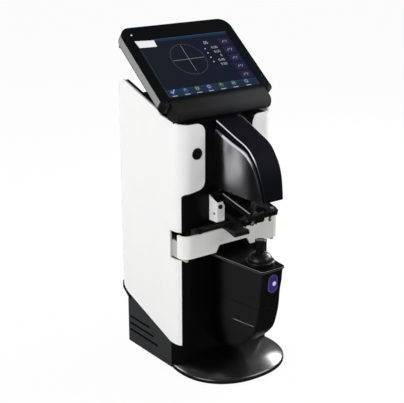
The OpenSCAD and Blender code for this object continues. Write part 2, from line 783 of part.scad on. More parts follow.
module block_screws() place() color("#161616") both() {
    y_rod(1.75, -block_y, -block_y + 7, -block_out + 4.4, arm_z - 14);
    y_rod(3, -block_y - 1.6, -block_y, -block_out + 4.4, arm_z - 14);
}

// Knuckles that carry the display on the top cover.
knuckle_r = 7.4;
knuckle_w = 16;
arm_dir = -60;
module hinge_brackets() place() color("#8d9094") both() difference() {
    union() {
        x_rod(knuckle_r, -45 - knuckle_w / 2, -45 + knuckle_w / 2, hinge_y, hinge_z);
        translate([-45 - knuckle_w / 2, hinge_y, hinge_z]) rotate([arm_dir, 0, 0])
            translate([0, 0, -3.6]) cube([knuckle_w, 20, 7.2]);
        x0 = -45 - knuckle_w / 2;
        x1 = -45 + knuckle_w / 2;
        span([x0, trough_y - 8, trough_z - 6], [x1, trough_y + 0.4, trough_z - 0.2]);
        span([x0, trough_y - 8, trough_z - 6], [x1, 58, trough_z - 3.4]);
    }
    x_rod(3 + hub_fit, -60, -30, hinge_y, hinge_z);
    span([-60, 20, trough_z - 20], [-30, 60, trough_z - 6]);
}

// Local frame of the display: Y runs up the screen and Z out of it.
module on_display() place() translate([0, hinge_y, hinge_z]) rotate([tilt, 0, 0]) children();

slab_u = 6.4;
ear_gap = 3.6;
ear_u = 15;
boss_x = display_w / 2 - 6.6;
face_n = chin_r;
skin = 1.8;
window_mid = window_u + window_h / 2;

module slab_plan(inset, low = slab_u) {
    w = display_w / 2 - inset;
    polygon(rounded([
        [-w, low + inset, 9 - inset], [-w, display_l - inset, 17 - inset],
        [w, display_l - inset, 17 - inset], [w, low + inset, 9 - inset]
    ], 8));
}

module ear_notch() both() translate([-half_w - ear_gap, -20]) square([ear_gap, ear_u + 20]);

module knuckle_pocket() {
    reach = 4.4;
    lo = arm_dir - tilt - 26;
    hi = arm_dir - tilt + 16;
    both() {
        x_rod(knuckle_r + 0.7, -45 - knuckle_w / 2 - 0.4, -45 + knuckle_w / 2 + 0.4, 0, 0);
        side_prism([
            [0, 0],
            [reach * sin(lo), -reach * cos(lo)],
            [14 * cos(lo) + reach * sin(lo), 14 * sin(lo) - reach * cos(lo)],
            [16 * cos((lo + hi) / 2), 16 * sin((lo + hi) / 2)],
            [14 * cos(hi) - reach * sin(hi), 14 * sin(hi) + reach * cos(hi)],
            [-reach * sin(hi), reach * cos(hi)]
        ], -45 - knuckle_w / 2 - 0.4, -45 + knuckle_w / 2 + 0.4);
    }
}

module display_bezel() on_display() color("#3a3a3c") difference() {
    union() {
        translate([0, 0, face_n - skin]) linear_extrude(skin) difference() {
            slab_plan(0);
            translate([0, window_mid]) square([window_w, window_h], center = true);
            ear_notch();
        }
        x_rod(chin_r, -half_w, half_w, 0, 0);
        translate([-half_w, 0, face_n - skin]) cube([body_w, slab_u + 1, skin]);
        translate([-half_w, 0, -chin_r + 2.4]) cube([body_w, slab_u - seam, face_n - skin + chin_r - 2.4]);
    }
    knuckle_pocket();
    x_rod(3 + 0.02, -62, 62, 0, 0);
}

module display_frame() on_display() color("#a9abad") {
    n0 = face_n - skin - band_t;
    translate([0, 0, n0]) linear_extrude(band_t) difference() {
        slab_plan(0.3);
        translate([0, 1.5]) slab_plan(4, slab_u + 1);
        translate([-half_w - ear_gap, -20]) square([2 * (half_w + ear_gap), ear_u + 20]);
    }
    // Bosses for the rear case's screws
    for (x = [-1, 1]) for (u = [30, display_l - 14]) difference() {
        translate([x * boss_x, u, n0]) cylinder(r = 4.6, h = band_t - 2);
        translate([x * boss_x, u, n0 - 1]) cylinder(r = 1.4, h = 10);
    }
}

module display_back() on_display() color("#1c1c1e") {
    n1 = face_n - skin - band_t;
    difference() {
        union() {
            translate([0, 0, n1 - back_t + 2]) linear_extrude(back_t - 2) difference() {
                slab_plan(2.2);
                ear_notch();
            }
            translate([0, 0, n1 - back_t]) linear_extrude(2 + eps) difference() {
                slab_plan(4);
                ear_notch();
            }
        }
        translate([0, 1, n1 - back_t + 2.2]) linear_extrude(back_t) slab_plan(6, slab_u + 2);
        for (i = [0:7]) translate([-45, 70 + 6 * i, n1 - back_t - 1]) cube([90, 2.4, 4]);
        for (x = [-1, 1]) for (u = [30, display_l - 14])
            translate([x * boss_x, u, n1 - back_t - 1]) cylinder(r = 1.7, h = 30);
        both() translate([-54, 0, -30]) cube([18, slab_u + 7, 60]);
        x_rod(chin_r + seam, -half_w - 0.4, half_w + 0.4, 0, 0);
    }
}

module display_screws() on_display() color("#6f7276") {
    n0 = face_n - skin - band_t - back_t;
    for (x = [-1, 1]) for (u = [30, display_l - 14]) translate([x * boss_x, u, n0 - 1.2]) {
        cylinder(r = 3, h = 1.2);
        cylinder(r = 1.3, h = back_t + 6);
    }
}

module lcd_panel() on_display() color("#14203c") {
    translate([-window_w / 2 - 2, window_u - 3, face_n - skin - 6])
        cube([window_w + 4, window_h + 6, 6 - eps]);
    translate([-window_w / 2 + 0.2, window_u + 0.2, face_n - skin - 1])
        cube([window_w - 0.4, window_h - 0.4, 2.2]);
}

module status_led() on_display() color("#f4f4f4")
    translate([-display_w / 2 + 15.4, display_l - 13.5, face_n]) cylinder(r = 1.1, h = 0.5);

module hinge_pin() place() color("#b4b7ba") x_rod(3, -60, 60, hinge_y, hinge_z);

// Inside of the table: rods, mounts and arms.
rod_x = 63;
rod_z = 178;
rod_r = 3;
lug_y = 37;
lug_l = 16;
module guide_rods() place() color("#c8cbce") both()
    y_rod(rod_r, 8.2, 66, -rod_x, rod_z);

module rod_mounts() place() color("#3c3c40") both() difference() {
    intersection() {
        span([-rod_x - 6, panel_in, rod_z - 7], [-rod_x + 6, 12, rod_z + 7]);
        linear_extrude(rod_z + 10) plan(panel_in);
    }
    y_rod(rod_r + 0.02, 8.1, 13, -rod_x, rod_z);
}

module table_arms() place() color("#cfcfcc") both() difference() {
    arm_out = inner_w - 0.4;
    union() {
        span([-arm_out, -6.5, slot_low + 1.5], [-arm_out + 3.2, lug_y + lug_l, 190]);
        span([-table_w + table_wall, 0.9, table_low + 1], [-arm_out + eps, 4.4, 190]);
        span([-arm_out, lug_y, rod_z - 8], [-rod_x + 7, lug_y + lug_l, rod_z + 8]);
    }
    y_rod(rod_r + hub_fit, lug_y - 1, lug_y + lug_l + 1, -rod_x, rod_z);
}

// U-shaped bumper that the lower rims of the spectacles rest on.
function bumper_plan(inset) =
    let (w = table_w - inset, y = -table_y + inset)
    rounded([[-w, 4.6, 0], [-w, y, 12 - inset], [w, y, 12 - inset], [w, 4.6, 0]], 8);

module table_bumper() place() color("#f0f0ee") difference() {
    translate([0, 0, table_low]) linear_extrude(table_top - table_low) difference() {
        polygon(bumper_plan(0));
        polygon(concat(bumper_plan(table_wall), [[table_w - table_wall, 6], [-table_w + table_wall, 6]]));
    }
    front_prism([
        [-29.5, table_low - 1], [-29.5, table_low], [-23.5, table_low + 9.8],
        [23.5, table_low + 9.8], [29.5, table_low], [29.5, table_low - 1]
    ], -table_y - 1, 0);
}

tongue_z = table_top + 1.2;
module table_rail() place() color("#4c4c4e") {
    y0 = -table_y + table_wall;
    difference() {
        union() {
            span([-64, y0, table_low + 14], [64, -1, rail_top]);
            both() span([-70, y0, table_low + 14], [-64 + eps, y0 + 2.4, table_low + 24]);
        }
        span([-50, y0 - 1, tongue_z - 0.2], [50, y0 + 3, tongue_z + 2.7]);
    }
}

module rail_knobs() place() color("#111112") both()
    y_rod(3.6, -table_y - 1.6, -table_y + table_wall, -57, rail_top - 1.5);

module nose_pad() place() color("#161618") translate([nose_x, 0, 0]) {
    y1 = -table_y - 0.4;
    y0 = -table_y - nose_l;
    top = table_top + 4.2;
    intersection() {
        side_prism(rounded([
            [y1, table_top + 0.5, 0], [y1, top, 0], [y0, top, 3],
            [y0, table_top - 5.6, 2], [y0 + 22, table_top + 0.5, 5]
        ]), -nose_w / 2, nose_w / 2);
        front_prism(rounded([
            [-nose_w / 2, table_top - 8, 0], [-nose_w / 2, top, 1.5],
            [nose_w / 2, top, 6], [nose_w / 2, table_top - 8, 2]
        ]), y0 - 1, y1 + 1);
    }
    span([-6, y1 - 3, tongue_z], [6, -table_y + table_wall + 2.7, tongue_z + 2.5]);
}

// Local frame of the holder plate: Y runs forward along the plate and Z is its upper face.
module on_arm() place() translate([0, -arm_y, arm_z]) rotate([0, 0, 180]) rotate([-arm_slope, 0, 0])
    children();

axis_u = (axis_y - arm_y) / cos(arm_slope);
pin_spots = [[-14.5, axis_u + 4], [14.5, axis_u + 4], [0, axis_u - 17.5]];

module holder_arm() on_arm() color("#131314") difference() {
    union() {
        translate([0, 0, -arm_t / 2]) linear_extrude(arm_t) polygon(rounded([
            [-arm_w, 0, 0], [-arm_w, arm_l, 3], [arm_w, arm_l, 3], [arm_w, 0, 0]
        ]));
        x_rod(5, -arm_w + 0.1, arm_w - 0.1, 0, 0);
        // Raised rim along both edges
        both() translate([-arm_w, 8, arm_t / 2 - eps]) cube([1.6, arm_l - 14, 1]);
        translate([-12, 14, arm_t / 2 - eps]) cube([24, 22, 3]);
    }
    x_rod(arm_pin_r + hub_fit, -arm_w - 1, arm_w + 1, 0, 0);
    translate([0, axis_u, -10]) cylinder(r = 7.5, h = 20);
    // Pocket in the underside that clears the marker when the holder is down
    translate([-bar_out - 1, 38, -arm_t / 2 - 1]) cube([2 * bar_out + 2, 22, arm_t / 2 + 2.3]);
    for (p = pin_spots) translate([p.x, p.y, -10]) cylinder(r = 1.6 + hub_fit, h = 20);
}

module arm_screws() on_arm() color("#b8babd")
    for (x = [-16, 16]) for (u = [14, 30]) translate([x, u, arm_t / 2]) cylinder(r = 1.6, h = 0.9);

// A sprung pin that presses the lens on its rest, with a soft rounded tip.
pin_low = -14;
module lens_pin(i) on_arm() color("#c9cbce") translate([pin_spots[i].x, pin_spots[i].y, 0]) {
    translate([0, 0, pin_low + 3]) cylinder(r = 1.6, h = arm_t / 2 + 2.6 - pin_low - 3);
    translate([0, 0, arm_t / 2 + 0.05]) cylinder(r = 2.8, h = 2.6);
    translate([0, 0, pin_low + 1]) cylinder(r = 2.1, h = 3);
    translate([0, 0, pin_low]) cylinder(r1 = 1.2, r2 = 2.1, h = 1 + eps);
}
module left_lens_pin() lens_pin(0);
module right_lens_pin() lens_pin(1);
module rear_lens_pin() lens_pin(2);

// Arm with the three inking pins, below the holder plate.
bar_out = 20;
bar_in = 15.6;
marker_dip = 11;
module on_marker() place() translate([0, -marker_y, marker_z]) rotate([marker_dip, 0, 0]) children();

module marker_arm() on_marker() color("#121213") difference() {
    union() {
        both() {
            x_rod(4.2, -bar_out, -bar_in, 0, 0);
            span([-bar_out, -marker_l, -3], [-bar_in, 0, 3]);
        }
        span([-bar_out, -marker_l - 2.8, -3], [bar_out, -marker_l + 2.8, 3]);
    }
    x_rod(2 + hub_fit, -30, 30, 0, 0);
    for (x = [-9, 0, 9]) z_rod(1.25 + hub_fit, -10, 10, x, -marker_l);
}

module marking_pins() on_marker() color("#d8d8d4") for (x = [-9, 0, 9])
    translate([x, -marker_l, 0]) {
        translate([0, 0, -5]) cylinder(r = 1.25, h = 9);
        translate([0, 0, 3]) cylinder(r = 2, h = 1.4);
        translate([0, 0, -6.4]) cylinder(r1 = 0.5, r2 = 1.25, h = 1.4 + eps);
    }

module read_button() place() color("#4b3fb4") {
    face = keel_at(read_z) + 1.2;
    difference() {
        intersection() {
            read_hole(0);
            span([-12, -face, read_z - 16], [12, -face + 9, read_z + 16]);
        }
        translate([3, -face - 13, read_z - 1]) sphere(r = 14);
    }
}

module side_button() place() color("#0f0f10") {
    r = side_button_r - 2.2;
    y_rod(r, -1.1, panel_in + eps, -side_button_x, side_button_z);
    y_rod(r + 1.6, panel_in, panel_in + 1.4, -side_button_x, side_button_z);
}

module button_ring() place() color("#0c0c0d") difference() {
    y_rod(side_button_r, -0.7, shell_wall + seam, -side_button_x, side_button_z);
    y_rod(side_button_r - 2.2 + seam, -2, 5, -side_button_x, side_button_z);
}

module main_board() place() color("#2c6b3f") {
    span([-52, 70.5, 150], [52, 72.1, 300]);
    for (i = [0:3]) span([-40 + 22 * i, 72.1 - eps, 180], [-26 + 22 * i, 75.4, 194]);
    both() for (z = [158, 292]) y_rod(2.5, 68, 70.6, -46, z);
}

module power_supply() place() color("#a7aaad") difference() {
    y1 = base_d - 15;
    span([-50, 72, foot_h + pan_floor + 2], [50, y1, foot_h + pan_floor + 44]);
    for (i = [0:8]) span([-42 + 9.4 * i, 76, 40], [-38 + 9.4 * i, y1 - 4, 60]);
}

module power_inlet() place() color("#161616") difference() {
    union() {
        span([-55.8, base_d - 14, 20.2], [-27.8, base_d + 0.2, 40.2]);
        span([-58, base_d, 18], [-25.6, base_d + 1.8, 42.4]);
    }
    span([-53.8, base_d - 11, 22.8], [-29.8, base_d + 3, 37.6]);
    for (x = [-47, -41.8, -36.6]) span([x - 0.6, base_d - 14.5, 27.6], [x + 0.6, base_d - 10, 33]);
}

rocker_x = -15.3;
rocker_z = 29.7;
module power_switch() place() color("#101010") difference() {
    union() {
        span([rocker_x - 6.6, base_d - 12, rocker_z - 9.6], [rocker_x + 6.6, base_d, rocker_z + 9.6]);
        span([rocker_x - 8, base_d, rocker_z - 11], [rocker_x + 8, base_d + 1.2, rocker_z + 11]);
    }
    span([rocker_x - 5.6, base_d - 10, rocker_z - 8.8], [rocker_x + 5.6, base_d + 2, rocker_z + 8.8]);
    x_rod(1.5 + hub_fit, rocker_x - 7, rocker_x + 7, base_d - 4, rocker_z);
}

module power_rocker() place() color("#161616") translate([rocker_x, base_d - 4, rocker_z])
    rotate([8, 0, 0]) {
        difference() {
            span([-5.3, -3, -8], [5.3, 5.6, 8]);
            x_rod(30, -10, 10, 34.4, 0);
        }
        x_rod(1.5, -6.4, 6.4, 0, 0);
    }

module data_ports() place() color("#c0c3c6") difference() {
    span([4.2, base_d - 8, 18], [51.8, base_d - 0.6, 42]);
    for (i = [0:1]) span([8, base_d - 6, 22 + 9 * i], [22, base_d + 1, 27.4 + 9 * i]);
    span([28, base_d - 7, 22], [46, base_d + 1, 36]);
}

base_plate();
rubber_feet();
base_pan();
chassis_frame();
left_shell();
right_shell();
front_panel();
top_cover();
rear_cover();
head_housing();
head_lid();
lower_housing();
lower_belly();
lower_top_plate();
lens_rest();
rest_ring();
cover_glass();
beam_window();
light_source();
collimator_lens();
camera_sensor();
relay_lens();
pivot_blocks();
holder_pivot_pin();
yoke_ears();
block_screws();
hinge_brackets();
guide_rods();
rod_mounts();
main_board();
power_supply();
power_inlet();
data_ports();
cover_screws();
display_bezel();
display_frame();
display_back();
lcd_panel();
status_led();
hinge_pin();
display_screws();
table_bumper();
table_rail();
table_arms();
rail_knobs();
nose_pad();
holder_arm();
arm_screws();
left_lens_pin();
right_lens_pin();
rear_lens_pin();
marker_arm();
marking_pins();
marker_pivot_pin();
read_button();
side_button();
button_ring();
power_switch();
power_rocker();
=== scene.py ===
"""Automatic lensmeter: smooth mouldings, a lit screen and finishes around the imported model."""

import json
import logging
import math
from abc import ABC, abstractmethod
from dataclasses import dataclass, field
from enum import Enum
from typing import Any, Callable, Iterable, Optional, Sequence, Union

import bmesh
import bpy
from mathutils import Matrix, Vector

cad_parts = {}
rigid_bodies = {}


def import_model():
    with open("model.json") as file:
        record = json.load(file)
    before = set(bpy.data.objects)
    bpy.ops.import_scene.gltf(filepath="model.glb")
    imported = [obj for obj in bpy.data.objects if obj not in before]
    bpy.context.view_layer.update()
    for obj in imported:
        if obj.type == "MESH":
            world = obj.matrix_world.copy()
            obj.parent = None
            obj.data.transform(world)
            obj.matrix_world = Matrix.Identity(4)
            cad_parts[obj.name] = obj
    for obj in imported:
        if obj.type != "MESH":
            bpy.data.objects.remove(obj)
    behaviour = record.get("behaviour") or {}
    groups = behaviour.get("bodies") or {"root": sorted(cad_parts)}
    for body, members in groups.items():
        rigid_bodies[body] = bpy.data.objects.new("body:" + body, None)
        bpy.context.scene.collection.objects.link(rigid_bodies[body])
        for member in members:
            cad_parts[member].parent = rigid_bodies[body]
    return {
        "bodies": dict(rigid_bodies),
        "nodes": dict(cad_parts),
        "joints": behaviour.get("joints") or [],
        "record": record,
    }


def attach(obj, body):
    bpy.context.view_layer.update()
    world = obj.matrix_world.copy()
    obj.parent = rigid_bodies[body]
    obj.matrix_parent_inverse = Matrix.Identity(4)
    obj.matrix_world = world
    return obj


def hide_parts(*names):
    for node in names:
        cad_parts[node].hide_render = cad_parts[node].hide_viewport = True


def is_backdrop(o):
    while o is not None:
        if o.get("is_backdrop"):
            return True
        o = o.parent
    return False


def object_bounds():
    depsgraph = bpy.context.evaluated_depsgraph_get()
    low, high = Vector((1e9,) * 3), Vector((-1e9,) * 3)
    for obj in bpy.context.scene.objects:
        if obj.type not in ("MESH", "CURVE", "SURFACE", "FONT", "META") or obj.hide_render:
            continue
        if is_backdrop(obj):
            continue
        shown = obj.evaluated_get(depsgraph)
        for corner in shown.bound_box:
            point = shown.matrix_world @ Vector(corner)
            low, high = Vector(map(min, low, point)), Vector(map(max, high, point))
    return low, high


log = logging.getLogger("lensmeter")

MM = 0.001
FRONT_PLANE = 25.9
TILT = math.radians(38.4)
HINGE = (0.0, 18.5, 360.5)

Colour = tuple[float, float, float]
Point = tuple[float, float, float]
Flat = tuple[float, float]
Table = Sequence[Flat]


def part_point(point: Sequence[float]) -> Vector:
    """Moves a point from the drawing, in millimetres behind the front plane, to the row frame.

    Args:
        point: X, distance behind the front plane and height, in millimetres.

    Returns:
        The same point in metres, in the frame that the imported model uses.
    """
    return Vector((point[0], point[1] - FRONT_PLANE, point[2])) * MM


def smooth_value(table: Table, x: float) -> float:
    """Reads a table along a smooth curve that never overshoots its entries.

    Args:
        table: Pairs of place and value, in rising order of place.
        x: The place to read.

    Returns:
        The value there; outside the table its end value.
    """
    if x <= table[0][0]:
        return table[0][1]
    if x >= table[-1][0]:
        return table[-1][1]
    steps = [b[0] - a[0] for a, b in zip(table, table[1:])]
    rises = [(b[1] - a[1]) / h for a, b, h in zip(table, table[1:], steps)]
    slopes = [rises[0]]
    for before, after in zip(rises, rises[1:]):
        slopes.append(0.0 if before * after <= 0 else 2 * before * after / (before + after))
    slopes.append(rises[-1])
    i = max(k for k in range(len(steps)) if table[k][0] <= x)
    t = (x - table[i][0]) / steps[i]
    low, high = table[i][1], table[i + 1][1]
    return (
        low * (2 * t**3 - 3 * t**2 + 1)
        + high * (3 * t**2 - 2 * t**3)
        + steps[i] * (slopes[i] * (t**3 - 2 * t**2 + t) + slopes[i + 1] * (t**3 - t**2))
    )


def arc(centre: Flat, radius: float, start: float, end: float, count: int) -> list[Flat]:
    """Points along a circular arc.

    Args:
        centre: Centre of the arc.
        radius: Radius of the arc.
        start: First angle, in degrees.
        end: Last angle, in degrees.
        count: Number of steps.

    Returns:
        The points, one more than the steps.
    """
    turns = [math.radians(start + (end - start) * i / count) for i in range(count + 1)]
    return [(centre[0] + radius * math.cos(a), centre[1] + radius * math.sin(a)) for a in turns]


# Materials

Value = Union[float, "Socket"]


@dataclass(frozen=True)
class Socket:
    """One output in a node tree, used in plain arithmetic."""

    graph: "Graph"
    out: bpy.types.NodeSocket

    def _maths(self, operation: str, left: Value, right: Value = 0.0) -> "Socket":
        """Adds a Math node."""
        return self.graph.node("ShaderNodeMath", {"operation": operation}, {0: left, 1: right})

    def __add__(self, other: Value) -> "Socket":
        """Sum."""
        return self._maths("ADD", self, other)

    __radd__ = __add__

    def __sub__(self, other: Value) -> "Socket":
        """Difference."""
        return self._maths("SUBTRACT", self, other)

    def __rsub__(self, other: Value) -> "Socket":
        """Difference, with a number on the left."""
        return self._maths("SUBTRACT", other, self)

    def __mul__(self, other: Value) -> "Socket":
        """Product."""
        return self._maths("MULTIPLY", self, other)

    __rmul__ = __mul__

    def __pow__(self, other: Value) -> "Socket":
        """Power."""
        return self._maths("POWER", self, other)

    def __abs__(self) -> "Socket":
        """Size without sign."""
        return self._maths("ABSOLUTE", self)

    def at_least(self, other: Value) -> "Socket":
        """The larger of the two."""
        return self._maths("MAXIMUM", self, other)

    def step(self, start: float, end: float) -> "Socket":
        """Rises softly from 0 to 1 between two values.

        Args:
            start: Value that gives 0.
            end: Value that gives 1.

        Returns:
            The eased share.
        """
        return self.graph.node(
            "ShaderNodeMapRange",
            {"interpolation_type": "SMOOTHSTEP"},
            {"Value": self, "From Min": start, "From Max": end},
        )


class Graph:
    """A node tree that is written as expressions."""

    def __init__(self, tree: bpy.types.NodeTree) -> None:
        """Empties the tree.

        Args:
            tree: The tree of a material or a world.
        """
        self.tree = tree
        tree.nodes.clear()

    def node(
        self,
        kind: str,
        settings: Optional[dict[str, Any]] = None,
        inputs: Optional[dict[Any, Any]] = None,
        output: Union[int, str] = 0,
    ) -> Socket:
        """Adds any node.

        Args:
            kind: Type of the node.
            settings: Its own settings, set before its sockets.
            inputs: Values or links of its sockets, by name or index.
            output: The output that is wanted.

        Returns:
            That output.
        """
        made = self.tree.nodes.new(kind)
        for key, value in (settings or {}).items():
            setattr(made, key, value)
        for key, value in (inputs or {}).items():
            if isinstance(value, Socket):
                self.tree.links.new(value.out, made.inputs[key])
            else:
                made.inputs[key].default_value = value
        return Socket(self, made.outputs[output])

    def place(self, stretch: Point = (1.0, 1.0, 1.0)) -> Socket:
        """The object's own coordinates, in metres, stretched along each axis.

        Args:
            stretch: Factors of the three axes.

        Returns:
            The vector.
        """
        here = self.node("ShaderNodeTexCoord", output="Object")
        if stretch == (1.0, 1.0, 1.0):
            return here
        return self.node(
            "ShaderNodeVectorMath", {"operation": "MULTIPLY"}, {0: here, 1: stretch}
        )

    def axis(self, index: int) -> Socket:
        """One coordinate of the object, in millimetres."""
        return self.node("ShaderNodeSeparateXYZ", None, {0: self.place()}, index) * (1 / MM)

    def depth(self) -> Socket:
        """Distance in front of the front plane, in millimetres."""
        return self.axis(1) * -1.0 - FRONT_PLANE

    def on_display(self) -> tuple[Socket, Socket]:
        """Place on the display, in millimetres from its hinge.

        Returns:
            Distance up the screen, and distance out of it.
        """
        back = self.axis(1) - (HINGE[1] - FRONT_PLANE)
        high = self.axis(2) - HINGE[2]
        cos, sin = math.cos(TILT), math.sin(TILT)
        return back * cos + high * sin, high * cos - back * sin

    def ray(self, kind: str) -> Socket:
        """Whether a ray is of a kind: Camera, Glossy or Transmission."""
        return self.node("ShaderNodeLightPath", output=f"Is {kind} Ray")

    def facing(self, index: int) -> Socket:
        """One part of the surface's direction, from -1 to 1."""
        turned = self.node("ShaderNodeTexCoord", output="Normal")
        return self.node("ShaderNodeSeparateXYZ", None, {0: turned}, index)

    def noise(self, size: float, detail: float = 2.0, stretch: Point = (1.0, 1.0, 1.0)) -> Socket:
        """Soft noise of a given size.

        Args:
            size: Size of its patches, in millimetres.
            detail: Number of finer layers.
            stretch: Factors of the three axes.

        Returns:
            The noise, from 0 to 1.
        """
        return self.node(
            "ShaderNodeTexNoise",
            None,
            {"Vector": self.place(stretch), "Scale": 1 / (size * MM), "Detail": detail},
        )

    def mix(self, share: Value, first: Any, second: Any) -> Socket:
        """Blends two colours.

        Args:
            share: Share of the second one.
            first: Colour or link.
            second: Colour or link.

        Returns:
            The blended colour.
        """
        pair = [(*c, 1.0) if isinstance(c, tuple) else c for c in (first, second)]
        return self.node(
            "ShaderNodeMix", {"data_type": "RGBA"}, {0: share, 6: pair[0], 7: pair[1]}, 2
        )

    def bump(self, height: Value, depth: float) -> Socket:
        """A normal from a height.

        Args:
            height: The height, from 0 to 1.
            depth: Its full depth, in millimetres.

        Returns:
            The normal.
        """
        return self.node("ShaderNodeBump", None, {"Height": height, "Distance": depth * MM})

    def surface(self, shader: Socket) -> None:
        """Links a shader to the output."""
        kind = "World" if isinstance(self.tree.id_data, bpy.types.World) else "Material"
        end = self.tree.nodes.new(f"ShaderNodeOutput{kind}")
        self.tree.links.new(shader.out, end.inputs["Surface"])


@dataclass(frozen=True)
class Finish(ABC):
    """What a surface is made of."""

    name: str
    colour: Colour

    def material(self) -> bpy.types.Material:
        """Makes the material the first time, and returns it from then on.

        Returns:
            The material.
        """
        name = f"{self.name}_finish"
        made = bpy.data.materials.get(name)
        if made is None:
            made = bpy.data.materials.new(name)
            made.use_nodes = True
            made.diffuse_color = (*self.colour, 1.0)
            graph = Graph(made.node_tree)
            graph.surface(graph.node("ShaderNodeBsdfPrincipled", None, self.sockets(graph)))
        return made

    def shade(self, factor: float) -> Colour:
        """The finish's colour, darker or paler."""
        return tuple(c * factor for c in self.colour)

    @abstractmethod
    def sockets(self, graph: Graph) -> dict[str, Any]:
        """Values and links of the shader's sockets.

        Args:
            graph: The material's node tree.

        Returns:
            What each socket gets, by name.
        """


@dataclass(frozen=True)
class Moulding(Finish):
    """Moulded plastic with a fine grain, faint flow marks and handling haze."""

    roughness: float = 0.4
    specular: float = 0.5
    ior: float = 1.46
    grain: float = 0.5
    depth: float = 0.006
    mottle: float = 0.08
    haze: float = 0.08
    drawn: float = 0.0
    dust: float = 0.0
    metallic: float = 0.0
    flow_size: float = 26.0
    rub_size: float = 9.0
    rub_stretch: Point = (1.0, 1.0, 0.45)
    speck_size: float = 0.9
    drift_size: float = 14.0
    dust_colour: Colour = (0.5, 0.5, 0.48)

    def tint(self, graph: Graph, base: Socket) -> Socket:
        """The colour where it lies; the finishes below change it from place to place."""
        return base

    def sockets(self, graph: Graph) -> dict[str, Any]:
        """Values and links of the shader's sockets.

        Args:
            graph: The material's node tree.

        Returns:
            What each socket gets, by name.
        """
        flow = graph.noise(self.flow_size, 3.0)
        grain = graph.noise(self.grain)
        rubbed = graph.noise(self.rub_size, 4.0, self.rub_stretch)
        light = tuple(min(c, 1.0) for c in self.shade(1 + self.mottle))
        colour = graph.mix(flow * 0.7 + grain * 0.3, self.shade(1 - self.mottle), light)
        if self.dust > 0:
            specks = graph.noise(self.speck_size, 1.0).step(0.7, 0.8)
            drifts = graph.noise(self.drift_size).step(0.5, 0.75)
            colour = graph.mix(specks * drifts * self.dust, colour, self.dust_colour)
        return {
            "Base Color": self.tint(graph, colour),
            "Metallic": self.metallic,
            "Roughness": (rubbed - 0.5) * self.haze + (grain - 0.5) * 0.03 + self.roughness,
            "Specular IOR Level": self.specular,
            "IOR": self.ior,
            "Anisotropic": self.drawn,
            "Anisotropic Rotation": 0.25,
            "Normal": graph.bump(grain * 0.8 + flow * 0.2, self.depth),
        }


@dataclass(frozen=True)
class BezelFinish(Moulding):
    """Bezel with a painted highlight on its chin, paler towards its right end."""

    # Colours of the painted highlight on the chin, at its left and right ends.
    chin: Colour = (0.0155, 0.0155, 0.0165)
    chin_right: Colour = (0.047, 0.048, 0.051)
    chin_top: float = 17.0
    chin_fade: float = 9.0
    wear: Flat = (-70.0, 95.0)

    def tint(self, graph: Graph, base: Socket) -> Socket:
        """The bezel's colour with a painted highlight on its chin.

        Args:
            graph: The material's node tree.
            base: The colour without the painted highlight.

        Returns:
            The colour.
        """
        # Painted highlight: the chin is paled where a front lamp's reflection falls, more so to the
        # right.
        worn = graph.mix(graph.axis(0).step(*self.wear), self.chin, self.chin_right)
        up, _ = graph.on_display()
        low = 1.0 - up.step(self.chin_top - self.chin_fade, self.chin_top)
        return graph.mix(low * (graph.noise(20.0) * 0.3 + 0.8), base, worn)


@dataclass(frozen=True)
class BandFinish(Moulding):
    """Silver side band that is black along its front edge and round the corners."""

    low: float = 19.0
    high: float = 132.0
    front: float = 8.9
    edge: Colour = (0.004, 0.004, 0.0045)

    def tint(self, graph: Graph, base: Socket) -> Socket:
        """The band's colour with its black edges.

        Args:
            graph: The material's node tree.
            base: The silver.

        Returns:
            The colour.
        """
        up, out = graph.on_display()
        lit = up.step(self.low - 3.0, self.low) * (1.0 - up.step(self.high, self.high + 5.0))
        return graph.mix(lit * (1.0 - out.step(self.front - 0.4, self.front)), self.edge, base)


@dataclass(frozen=True)
class HousingFinish(Moulding):
    """Satin housing with painted shade at its root and on its front faces, and a dashed painted
    highlight low on its sides.
    """

    front: Colour = (0.0052, 0.0052, 0.0052)
    root: Colour = (0.001, 0.001, 0.001)
    root_fade: Flat = (12.0, 34.0)
    line: Colour = (0.3, 0.3, 0.3)
    line_height: float = 85.0
    line_start: Flat = (38.0, 44.0)

    def tint(self, graph: Graph, base: Socket) -> Socket:
        """The housing's colour with painted shade from its root to its front, and a painted highlight
        line.

        Args:
            graph: The material's node tree.
            base: The colour of its sides.

        Returns:
            The colour.
        """
        depth, forward = graph.depth(), graph.facing(1) * -1.0
        # Painted shade: darker near the root, where the housing meets the dark front panel, and on the
        # faces that look forward.
        body = graph.mix(depth.step(*self.root_fade), self.root, base)
        shaded = graph.mix(forward.step(0.4, 0.85), body, self.front)
        # Painted highlight: a dashed pale line low on the sides, where the housing bends inward.
        near = 1.0 - abs(graph.axis(2) - self.line_height).step(0.3, 0.6)
        drawn = near * depth.step(*self.line_start) * (1.0 - forward.step(0.2, 0.4))
        return graph.mix(drawn * graph.noise(1.6).step(0.42, 0.5), shaded, self.line)


@dataclass(frozen=True)
class PlateFinish(Moulding):
    """Cap plate with painted highlights along both edges of its side."""

    high: float = 167.5
    low: float = 164.5
    edge: Colour = (0.16, 0.16, 0.165)

    def tint(self, graph: Graph, base: Socket) -> Socket:
        """The plate's colour with a painted highlight along its upper edge and a fainter one below.

        Args:
            graph: The material's node tree.
            base: The plain colour.

        Returns:
            The colour.
        """
        # Painted highlights: pale lines along the side's upper and lower edges.
        z = graph.axis(2)
        upper = z.step(self.high - 1.0, self.high - 0.8)
        lower = 1.0 - z.step(self.low + 0.6, self.low + 0.8)
        side = 1.0 - abs(graph.facing(2)).step(0.3, 0.6)
        return graph.mix((upper + lower * 0.5) * side, base, self.edge)


